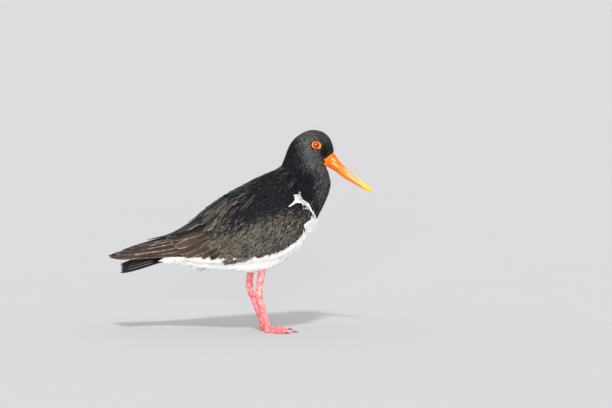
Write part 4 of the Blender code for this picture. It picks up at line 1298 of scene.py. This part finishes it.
def groove_depth(x, z):
    """How deep the groove of the nostrils is at places on the side of the bill, from 0 to 1."""
    (x0, z0), (x1, z1) = NOSTRIL
    size = math.hypot(x1 - x0, z1 - z0)
    along = ((x - x0) * (x1 - x0) + (z - z0) * (z1 - z0)) / size**2
    aside = ((x - x0) * (z1 - z0) - (z - z0) * (x1 - x0)) / size
    ends = np.clip(np.minimum(along + 0.25, (1.5 - along) / 0.6) * 3, 0, 1)
    return np.exp(-(aside / 0.9) ** 2) * ends


def bill_look(face):
    """Horn from deep orange at the face to a yellow tip, with a pink painted sheen and pale streaks of
    painted highlight, and painted shade in the nostril slit.
    """
    look = Look("orange_horn", 0.32, Specular_IOR_Level=0.12)
    spot = look.node("SeparateXYZ", look.spot())
    x, z = spot.outputs[0], spot.outputs[2]

    def ahead(value, start, end, new_start=0.0, new_end=1.0):
        """A share that runs from one x to another, in millimetres in the side view."""
        return look.range(value, start * MM + AHEAD, end * MM + AHEAD, new_start, new_end)

    turned = look.node("Mapping", look.spot(), None, (0, math.radians(-37), 0)).outputs[0]
    grain = look.noise(1.0, 3.0, look.stretched(turned, 18, 310, 380))
    broad = look.noise(1.0, 1.0, look.stretched(turned, 40, 260, 330))
    shifted = look.calc("MULTIPLY_ADD", look.calc("SUBTRACT", broad, 0.5), 0.02, x)
    colour = look.mix(ahead(shifted, 120, 150), face.bill_base, face.bill_middle)
    colour = look.mix(ahead(shifted, 152, 174), colour, face.bill_tip)
    axis_x, axis_z, slope = BILL_AXIS
    from_axis = look.calc("MULTIPLY_ADD", look.calc("SUBTRACT", x, axis_x * MM + AHEAD), slope,
                         look.calc("SUBTRACT", z, axis_z * MM))
    # Near the line, the pink is painted sheen and the pale lines are painted highlights along the bill.
    inner = look.range(look.calc("ABSOLUTE", from_axis), 0.0015, 0.005, 1.0, 0.0)
    middle = look.times(ahead(x, 134, 150), ahead(x, 160, 176, 1.0, 0.0))
    pink = look.times(look.range(broad, 0.42, 0.6, 0.25, 0.9), inner, middle)
    colour = look.mix(pink, colour, BILL_PAINTED_SHEEN)
    lines = look.times(look.range(grain, 0.52, 0.6), ahead(x, 155, 176, 0.95, 0.1))
    colour = look.mix(look.times(lines, inner), colour, BILL_PAINTED_HIGHLIGHT)
    deep = look.times(look.range(grain, 0.47, 0.4), ahead(x, 150, 178, 0.85, 0.2))
    colour = look.mix(deep, colour, [face.bill_base[0] * 0.9, face.bill_base[1] * 0.75, 0.001])
    # The nostril slit is darkened as painted shade in its opening.
    colour = look.mix(look.value("Groove"), colour, BILL_NOSTRIL_SHADE)
    look.join(colour)
    look.bump(grain, 0.0003, 0.5)
    return look.material


def make_bill(face):
    """The two halves of the bill, with a groove along the nostrils."""
    look = bill_look(face)
    (x0, _), (x1, _) = NOSTRIL
    for name, line, upper in (("bill_upper", BILL_RIDGE, True), ("bill_lower", BILL_KEEL, False)):
        mesh = mesh_of(name, bill_half(line, 90, 50, upper))
        spots = places_of(mesh)
        x, z = side_place(spots)
        groove = groove_depth(x, z) * upper
        # The dark of the nostril slit is painted shade in its opening.
        slit = np.clip(groove * 1.6 - 0.9, 0, 1) * (x > x0) * (x < x0 + 0.55 * (x1 - x0))
        value_on(mesh, "Groove", slit * (np.abs(spots[:, 1]) > 0.002))
        mesh.set_sharp_from_angle(angle=math.radians(50))
        placed(name + "_horn", mesh, look, "bill", (name,))


def make_gape(face):
    """The bare orange skin at both corners of the mouth, laid on the face beside the bill."""
    look = Look("orange_gape", 0.4, Specular_IOR_Level=0.12)
    grain = look.noise(700.0)
    red, green, _ = face.bill_base
    look.join(look.mix(grain, face.bill_base, (red, green * 1.9, 0.02)))
    look.bump(grain, 0.0002)
    surface = side_surface(outer_field())
    for name, side in SIDES:
        def place(along, around):
            turn = around * 2 * math.pi
            x = GAPE_REACH[0] + (GAPE_REACH[1] - GAPE_REACH[0]) * along
            top, low = gape_edges(x)
            x = x + GAPE_CLEFT * (1 - along) ** 2 * (1 - np.abs(np.cos(turn)) ** 0.7)
            z = (top + low) / 2 - (top - low) / 2 * np.cos(turn) * np.minimum(1, 0.55 + along * 6)
            points = surface(x / 10, -z / 10)
            deep = np.where(np.sin(turn) > 0, GAPE_THICK * np.abs(np.sin(turn)) ** 0.4, 2.5 * np.sin(turn))
            points[:, 1] = np.maximum(points[:, 1] + deep * MM, 0.0008)
            return points * (1, side, 1)

        placed(f"gape_{name}_skin", mesh_of("gape", net(30, 40, place)), look.material, "bill")


def eye_place(side):
    """The middle of an eye and the way it faces."""
    middle = Vector((EYE_CENTRE[0] * MM + AHEAD, side * EYE_OUT * MM, EYE_CENTRE[1] * MM))
    facing = Vector((EYE_FACING[0], side * EYE_FACING[1], EYE_FACING[2])).normalized()
    return middle, facing


def eye_look(face):
    """A wet red iris with fine fibres, a darker rim and a black pupil."""
    look = Look("wet_red_eye", 0.04, Specular_IOR_Level=0.6)
    off = look.value("Off axis")
    fibres = look.range(look.noise(1400.0, 2.0), 0.3, 0.7, 0.75, 1.15)
    rim = look.range(off, 0.004, 0.0048)
    colour = look.mix(rim, face.iris, tinted(face.iris, 0.35))
    dark = look.range(fibres, 0.75, 1.15, 0.35, 0.0)
    colour = look.mix(dark, colour, tinted(face.iris, 0.5))
    pupil = look.range(off, face.pupil - 0.00012, face.pupil + 0.00012, 1.0, 0.0)
    look.join(look.mix(pupil, colour, (0.002, 0.002, 0.002)))
    return look.material


def ring_look(face):
    """Orange skin of fine beads, darker between them as painted shade."""
    look = Look("orange_eye_skin", 0.45, Specular_IOR_Level=0.12)
    beads = look.node("TexVoronoi", look.spot())
    beads.inputs["Scale"].default_value = 1500.0
    far = look.range(beads.outputs["Distance"], 0.0, 0.7)
    # Painted shade: the skin darkens away from each bead's middle, into the gaps between the beads.
    look.join(look.mix(far, face.ring, tinted(face.ring, 0.6)))
    look.bump(look.calc("SUBTRACT", 1.0, far), 0.0001, 0.6)
    return look.material


def make_eyes(face):
    """Two eyeballs, each in a fleshy ring with a drawn-out corner before it."""
    eye_material, ring_material = eye_look(face), ring_look(face)
    for name, side in SIDES:
        middle, facing = eye_place(side)
        turn = facing.to_track_quat("Z", "Y").to_matrix().to_4x4()
        bm = bmesh.new()
        bmesh.ops.create_uvsphere(bm, u_segments=48, v_segments=40, radius=EYE_RADIUS * MM,
                                  matrix=Matrix.Translation(middle) @ turn)
        mesh = mesh_of("eye", bm)
        spots = places_of(mesh) - np.array(middle)
        deep = spots @ np.array(facing)
        off = np.sqrt(np.maximum((spots**2).sum(1) - deep**2, 0))
        value_on(mesh, "Off axis", np.where(deep > 0, off, EYE_RADIUS * MM))
        placed(f"eye_{name}_ball", mesh, eye_material, "eyes", (f"eye_{name}",))
        make_eye_ring(name, side, middle, facing, ring_material)


def make_eye_ring(name, side, middle, facing, look):
    """A soft ring laid on the eyeball's rim and the face round it."""
    face = net(80, 120, lambda along, around: body_surface(
        HEAD_FROM + along * (BODY_TO - HEAD_FROM), (around * 2 - 1) * math.pi), merge=0.00002)
    tree = BVHTree.FromBMesh(face)
    face.free()
    ahead = Vector((1, 0, 0)) - facing * facing.x
    ahead = np.array(ahead.normalized())
    up = np.cross(np.array(facing), ahead) * (-side)
    centre, out = np.array(middle), np.array(facing)

    def place(around, section):
        angle = around * 2 * math.pi
        cos, sin = np.cos(angle), np.sin(angle)
        reach = np.where(cos > 0, RING_AHEAD, RING_BACK)
        outer = 1 / np.sqrt((cos / reach) ** 2 + (sin / RING_UP) ** 2)
        off_corner = (angle - math.radians(RING_CORNER_TURN)) / RING_CORNER_SPREAD
        outer = outer + RING_CORNER * np.exp(-off_corner**2)
        turn = section * 2 * math.pi
        across = (1 - np.cos(turn)) / 2
        radius = RING_INNER + (outer - RING_INNER) * across
        base = np.sqrt(np.maximum(EYE_RADIUS**2 - RING_INNER**2, 0))
        rim = centre + (ahead[None] * (outer * cos)[:, None] + up[None] * (outer * sin)[:, None]) * MM
        hits = [tree.ray_cast(Vector(spot) + facing * 0.02, -facing, 0.04)[0] for spot in rim]
        level = np.array([(hit - middle).dot(facing) / MM if hit else base for hit in hits]) - 0.5
        fall = base * (1 - across) + level * across
        high = fall + RING_THICK * np.sin(turn) * (1 - 0.45 * across) + 0.1
        flat = ahead[None] * (radius * cos)[:, None] + up[None] * (radius * sin)[:, None]
        return centre + (flat + out[None] * high[:, None]) * MM

    placed(f"eye_{name}_ring_skin", mesh_of("ring", net(64, 16, place, merge=0.00001)), look, "eye_rings",
           (f"eye_ring_{name}",))


def leg_point(table, side, along, around):
    """Points round a leg, from the body (0) to the foot (1)."""
    x, out, z, deep, wide = curve_at(table, along * (len(table) - 1)).T
    angle = around * 2 * math.pi
    fore = unit(lie_of_leg(table, along))
    return (in_row(x, side * (out + wide * np.cos(angle)), z)
            + fore * (deep * np.sin(angle) * MM)[:, None])


def lie_of_leg(table, along):
    """The way forward across a leg at places along it."""
    step = 0.01
    last = len(table) - 1
    high, low = curve_at(table, (along - step) * last), curve_at(table, (along + step) * last)
    run = low[:, (0, 2)] - high[:, (0, 2)]
    return np.stack([-run[:, 1], np.zeros(len(run)), run[:, 0]], 1)


def level_ways(heading):
    """The ways ahead and to the left on the floor."""
    ahead = np.array((math.cos(heading), math.sin(heading), 0))
    return ahead, np.array((-ahead[1], ahead[0], 0))


def toe_bm(start, heading, length):
    """One toe lying on the floor, with a flat sole and swellings at its joints."""
    ahead, across = level_ways(heading)
    table = np.array((TOE_HALF_WIDTHS, TOE_HEIGHTS), float).T

    def place(along, around):
        half, height = curve_at(table, along * (len(table) - 1)).T
        shrink = np.sqrt(np.clip(1 - ((along - 0.94) / 0.06).clip(0, 1) ** 2, 0.04, 1))
        turn = around * 2 * math.pi
        high = 0.5 - 0.5 * np.cos(turn)
        side = np.sin(turn) * half * shrink
        level = height * (0.02 + 0.98 * high * np.where(high > 0.3, 1, high / 0.3)) * (0.5 + 0.5 * shrink)
        return (np.array(start) + ahead * (length * MM * along)[:, None] + across * (side * MM)[:, None]
                + np.array((0, 0, 1)) * (level * MM)[:, None])

    return net(30, 22, place, merge=0.00001)


def leg_look(legs):
    """Pink skin of small scales whose pale middles are partly their own tone and partly painted highlight.
    """
    look = Look("scaly_pink_skin", 0.42, Specular_IOR_Level=0.15, Subsurface_Weight=0.06,
                Subsurface_Scale=0.002)
    where = look.stretched(look.spot(), 560, 560, 420)
    cells = look.node("TexVoronoi", where, feature="DISTANCE_TO_EDGE")
    cells.inputs["Scale"].default_value = 1.0
    # The pale scale middles are partly the scales' own tone and partly painted highlight; they are paler
    # higher up the leg.
    pale = look.range(cells.outputs["Distance"], 0.03, 0.22)
    height = look.node("SeparateXYZ", look.spot()).outputs[2]
    blotch = look.range(look.noise(170.0), 0.38, 0.6, 0.1, 1.0)
    share = look.times(pale, blotch, look.range(height, 0.02, 0.055, 0.6, 1.0))
    look.join(look.mix(share, legs.skin, legs.scale))
    look.bump(pale, 0.00018, 0.6)
    return look.material


def claw_look(legs):
    """Dark horn, a little uneven."""
    look = Look("dark_claw", 0.3, Specular_IOR_Level=0.5)
    look.join(look.mix(look.noise(600.0), tinted(legs.claw, 0.6), legs.claw))
    return look.material


def make_legs(legs):
    """Each leg and foot as one skin, grown together, with cross scales down the front."""
    leg_material, claw_material = leg_look(legs), claw_look(legs)
    for name, side in SIDES:
        table = np.array(LEGS[name], float)
        joint_x, joint_out = FOOT_JOINTS[name]
        start = Vector(((joint_x - TOE_START_BEHIND) * MM + AHEAD, side * joint_out * MM, 0))
        shafts = [net(110, 25, lambda along, around: leg_point(table, side, along, around)),
                  pad_bm(start)]
        for toe_name, (turn, length, claw_length) in TOES.items():
            heading = math.radians(turn) * -side
            shafts.append(toe_bm(start, heading, length))
            ahead = Vector(level_ways(heading)[0])
            make_claw(f"claw_{name}_{toe_name}", start + ahead * (length + GAP) * MM, heading, claw_length,
                      claw_material)
        shafts.append(web_bm(start, side))
        mesh = grown_together("leg_" + name, shafts)
        scutes(mesh, start)
        placed(f"leg_{name}_skin", mesh, leg_material, "legs",
               (f"tibia_{name}", f"tarsus_{name}", f"foot_{name}"))


def pad_bm(start):
    """The round pad that the toes grow from."""
    bm = bmesh.new()
    middle = start + Vector((PAD_MIDDLE[0], 0, PAD_MIDDLE[1])) * MM
    shape = Matrix.Diagonal([half * MM for half in PAD_SIZE] + [1])
    bmesh.ops.create_uvsphere(bm, u_segments=24, v_segments=16, radius=1,
                              matrix=Matrix.Translation(middle) @ shape)
    return bm


def web_bm(start, side):
    """The low web between the middle and outer toes."""
    turn, length, _ = TOES["outer"]
    ahead = Vector(level_ways(math.radians(turn) * -side)[0])
    bm = bmesh.new()
    corners = [start, start + Vector((length / 2 * MM, 0, 0)), start + ahead * WEB_LENGTH * MM]
    face = bmesh.ops.contextual_create(bm, geom=[bm.verts.new(corner) for corner in corners])["faces"]
    grown = bmesh.ops.extrude_face_region(bm, geom=face)["geom"]
    bmesh.ops.translate(bm, verts=[v for v in grown if isinstance(v, bmesh.types.BMVert)],
                        vec=(0, 0, WEB_HEIGHT * MM))
    bmesh.ops.recalc_face_normals(bm, faces=bm.faces)
    return bm


def grown_together(name, parts):
    """Closed shapes made one skin by a fine remesh, then smoothed."""
    mesh = bpy.data.meshes.new(name)
    whole = bmesh.new()
    for part in parts:
        part.to_mesh(mesh)
        part.free()
        whole.from_mesh(mesh)
    whole.to_mesh(mesh)
    whole.free()
    obj = in_scene(name + "_shape", mesh)
    remesh = obj.modifiers.new("grow together", "REMESH")
    remesh.mode = "VOXEL"
    remesh.voxel_size = 0.45 * MM
    bpy.context.view_layer.update()
    made = bpy.data.meshes.new_from_object(obj.evaluated_get(bpy.context.evaluated_depsgraph_get()))
    bpy.data.objects.remove(obj)
    bm = bmesh.new()
    bm.from_mesh(made)
    for _ in range(4):
        bmesh.ops.smooth_vert(bm, verts=bm.verts, factor=0.5, use_axis_x=True, use_axis_y=True,
                              use_axis_z=True)
    bm.to_mesh(made)
    bm.free()
    made.shade_smooth()
    return made


def scutes(mesh, start):
    """Cross scales raised down the front of the leg and along the toes, and a level sole."""
    spots = places_of(mesh)
    normals = places_of(mesh, "normal")
    z = spots[:, 2] / MM
    front = np.clip(normals[:, 0] * 1.6 - 0.4, 0, 1) * (z > 9) * (z < 50)
    steps = np.abs(np.sin(math.pi * z / 2.3)) ** 0.5
    toe_reach = np.hypot(spots[:, 0] - start.x, spots[:, 1] - start.y) / MM
    upward = np.clip(normals[:, 2] * 1.6 - 0.4, 0, 1) * (z < 9) * (toe_reach > 5)
    toe_steps = np.abs(np.sin(math.pi * toe_reach / 1.7)) ** 0.5
    lift = front * (steps - 0.5) * 0.16 + upward * (toe_steps - 0.5) * 0.22
    spots += normals * (lift * MM)[:, None]
    spots[:, 2] = np.where(spots[:, 2] < 0.35 * MM, 0, spots[:, 2])
    mesh.vertices.foreach_set("co", spots.ravel())
    mesh.update()


def make_claw(name, start, heading, length, look):
    """A claw that curves down to just above the floor."""
    ahead, across = level_ways(heading)

    def place(along, around):
        size = 0.12 + 0.88 * (1 - along) ** 0.65
        level = CLAW_CLEAR + CLAW_HEIGHT / 2 * (1 - along**2)
        turn = around * 2 * math.pi
        return (np.array(start) + ahead * (length * MM * along)[:, None]
                + across * (CLAW_HALF_WIDTH * MM * size * np.sin(turn))[:, None]
                + np.array((0, 0, MM)) * (level + 0.42 * CLAW_HEIGHT * size * np.cos(turn))[:, None])

    placed(name + "_horn", mesh_of(name, net(16, 17, place)), look, "claws", (name,))


def make_studio(studio):
    """A pale floor, soft light and the camera at the photograph's angle."""
    look = Look("pale_floor", 0.9, Specular_IOR_Level=0.1)
    look.join(look.mix(look.noise(3.0), studio.floor, tinted(studio.floor, 0.985)))
    bm = bmesh.new()
    bmesh.ops.create_grid(bm, x_segments=4, y_segments=4, size=FLOOR_HALF_SIZE)
    mesh = mesh_of("floor", bm, smooth=False)
    mesh.materials.append(look.material)
    floor = in_scene("floor", mesh)
    make_lights()
    make_camera(studio)
    bpy.context.scene.view_settings.view_transform = "Standard"


def make_lights():
    """A pale sky and two suns."""
    world = bpy.data.worlds.new("studio")
    world.use_nodes = True
    sky = world.node_tree.nodes["Background"]
    sky.inputs["Color"].default_value = SKY
    sky.inputs["Strength"].default_value = SKY_STRENGTH
    bpy.context.scene.world = world
    for name, (strength, spread, azimuth, height) in LIGHTS.items():
        light = bpy.data.lights.new(name, "SUN")
        light.energy = strength
        light.angle = math.radians(spread)
        azimuth, height = math.radians(azimuth), math.radians(height)
        way = Vector((math.sin(azimuth) * math.cos(height), -math.cos(azimuth) * math.cos(height),
                      math.sin(height)))
        in_scene(name, light).rotation_euler = way.to_track_quat("Z", "Y").to_euler()


def make_camera(studio):
    """The camera on the bird's right, looking a little down at the middle of the picture."""
    data = bpy.data.cameras.new("camera")
    data.lens = studio.lens
    data.clip_end = VIEW_END
    distance = studio.width * data.lens / data.sensor_width
    back = Vector((0, -math.cos(studio.elevation), math.sin(studio.elevation)))
    x, z = PICTURE_MIDDLE
    camera = in_scene("camera", data)
    camera.location = Vector((x * MM + AHEAD, 0, z * MM)) + back * distance
    camera.rotation_euler = back.to_track_quat("Z", "Y").to_euler()
    bpy.context.scene.camera = camera


class BIRD_OT_skin(bpy.types.Operator):
    """Make the skin that the feathers root in"""
    bl_idname = "bird.skin"
    bl_label = "Skin"

    def execute(self, context):
        make_skin(context.scene.bird_plumage)
        return {"FINISHED"}


class BIRD_OT_feathers(bpy.types.Operator):
    """Make the body feathers, both folded wings, the mantle and the tail"""
    bl_idname = "bird.feathers"
    bl_label = "Feathers"

    def execute(self, context):
        plumage = context.scene.bird_plumage
        looks = feather_looks(plumage)
        make_body_coat(plumage, looks)
        make_side_tufts(plumage, looks)
        make_wings(plumage, looks)
        make_mantle(plumage, looks)
        make_tail(plumage, looks)
        return {"FINISHED"}


class BIRD_OT_bill(bpy.types.Operator):
    """Make the two halves of the bill and the gape"""
    bl_idname = "bird.bill"
    bl_label = "Bill"

    def execute(self, context):
        make_bill(context.scene.bird_face)
        make_gape(context.scene.bird_face)
        return {"FINISHED"}


class BIRD_OT_eyes(bpy.types.Operator):
    """Make both eyes and the rings round them"""
    bl_idname = "bird.eyes"
    bl_label = "Eyes"

    def execute(self, context):
        make_eyes(context.scene.bird_face)
        return {"FINISHED"}


class BIRD_OT_legs(bpy.types.Operator):
    """Make both legs, the feet and the claws"""
    bl_idname = "bird.legs"
    bl_label = "Legs"

    def execute(self, context):
        make_legs(context.scene.bird_legs)
        return {"FINISHED"}


class BIRD_OT_studio(bpy.types.Operator):
    """Make the floor, the lights and the camera"""
    bl_idname = "bird.studio"
    bl_label = "Studio"

    def execute(self, context):
        make_studio(context.scene.bird_studio)
        return {"FINISHED"}


class BIRD_PT_panel(bpy.types.Panel):
    """Sizes, colours and pieces of the bird"""
    bl_idname = "BIRD_PT_panel"
    bl_label = "Pied oystercatcher"
    bl_space_type = "VIEW_3D"
    bl_region_type = "UI"
    bl_category = "Oystercatcher"

    def draw(self, context):
        for group in (context.scene.bird_plumage, context.scene.bird_face, context.scene.bird_legs,
                      context.scene.bird_studio):
            box = self.layout.box()
            for name in group.__annotations__:
                box.prop(group, name)
        for operator in OPERATORS:
            self.layout.operator(operator.bl_idname)


OPERATORS = (BIRD_OT_skin, BIRD_OT_feathers, BIRD_OT_bill, BIRD_OT_eyes, BIRD_OT_legs, BIRD_OT_studio)
GROUPS = (("bird_plumage", BirdPlumage), ("bird_face", BirdFace), ("bird_legs", BirdLegs),
          ("bird_studio", BirdStudio))


def register():
    for name, group in GROUPS:
        bpy.utils.register_class(group)
        setattr(bpy.types.Scene, name, PointerProperty(type=group))
    for made in OPERATORS + (BIRD_PT_panel,):
        bpy.utils.register_class(made)


def unregister():
    for made in (BIRD_PT_panel,) + OPERATORS[::-1]:
        bpy.utils.unregister_class(made)
    for name, group in GROUPS[::-1]:
        delattr(bpy.types.Scene, name)
        bpy.utils.unregister_class(group)


def main():
    """Makes the whole scene."""
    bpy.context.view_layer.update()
    register()
    bpy.ops.bird.skin()
    bpy.ops.bird.feathers()
    bpy.ops.bird.bill()
    bpy.ops.bird.eyes()
    bpy.ops.bird.legs()
    bpy.ops.bird.studio()


if __name__ == "__main__":
    main()
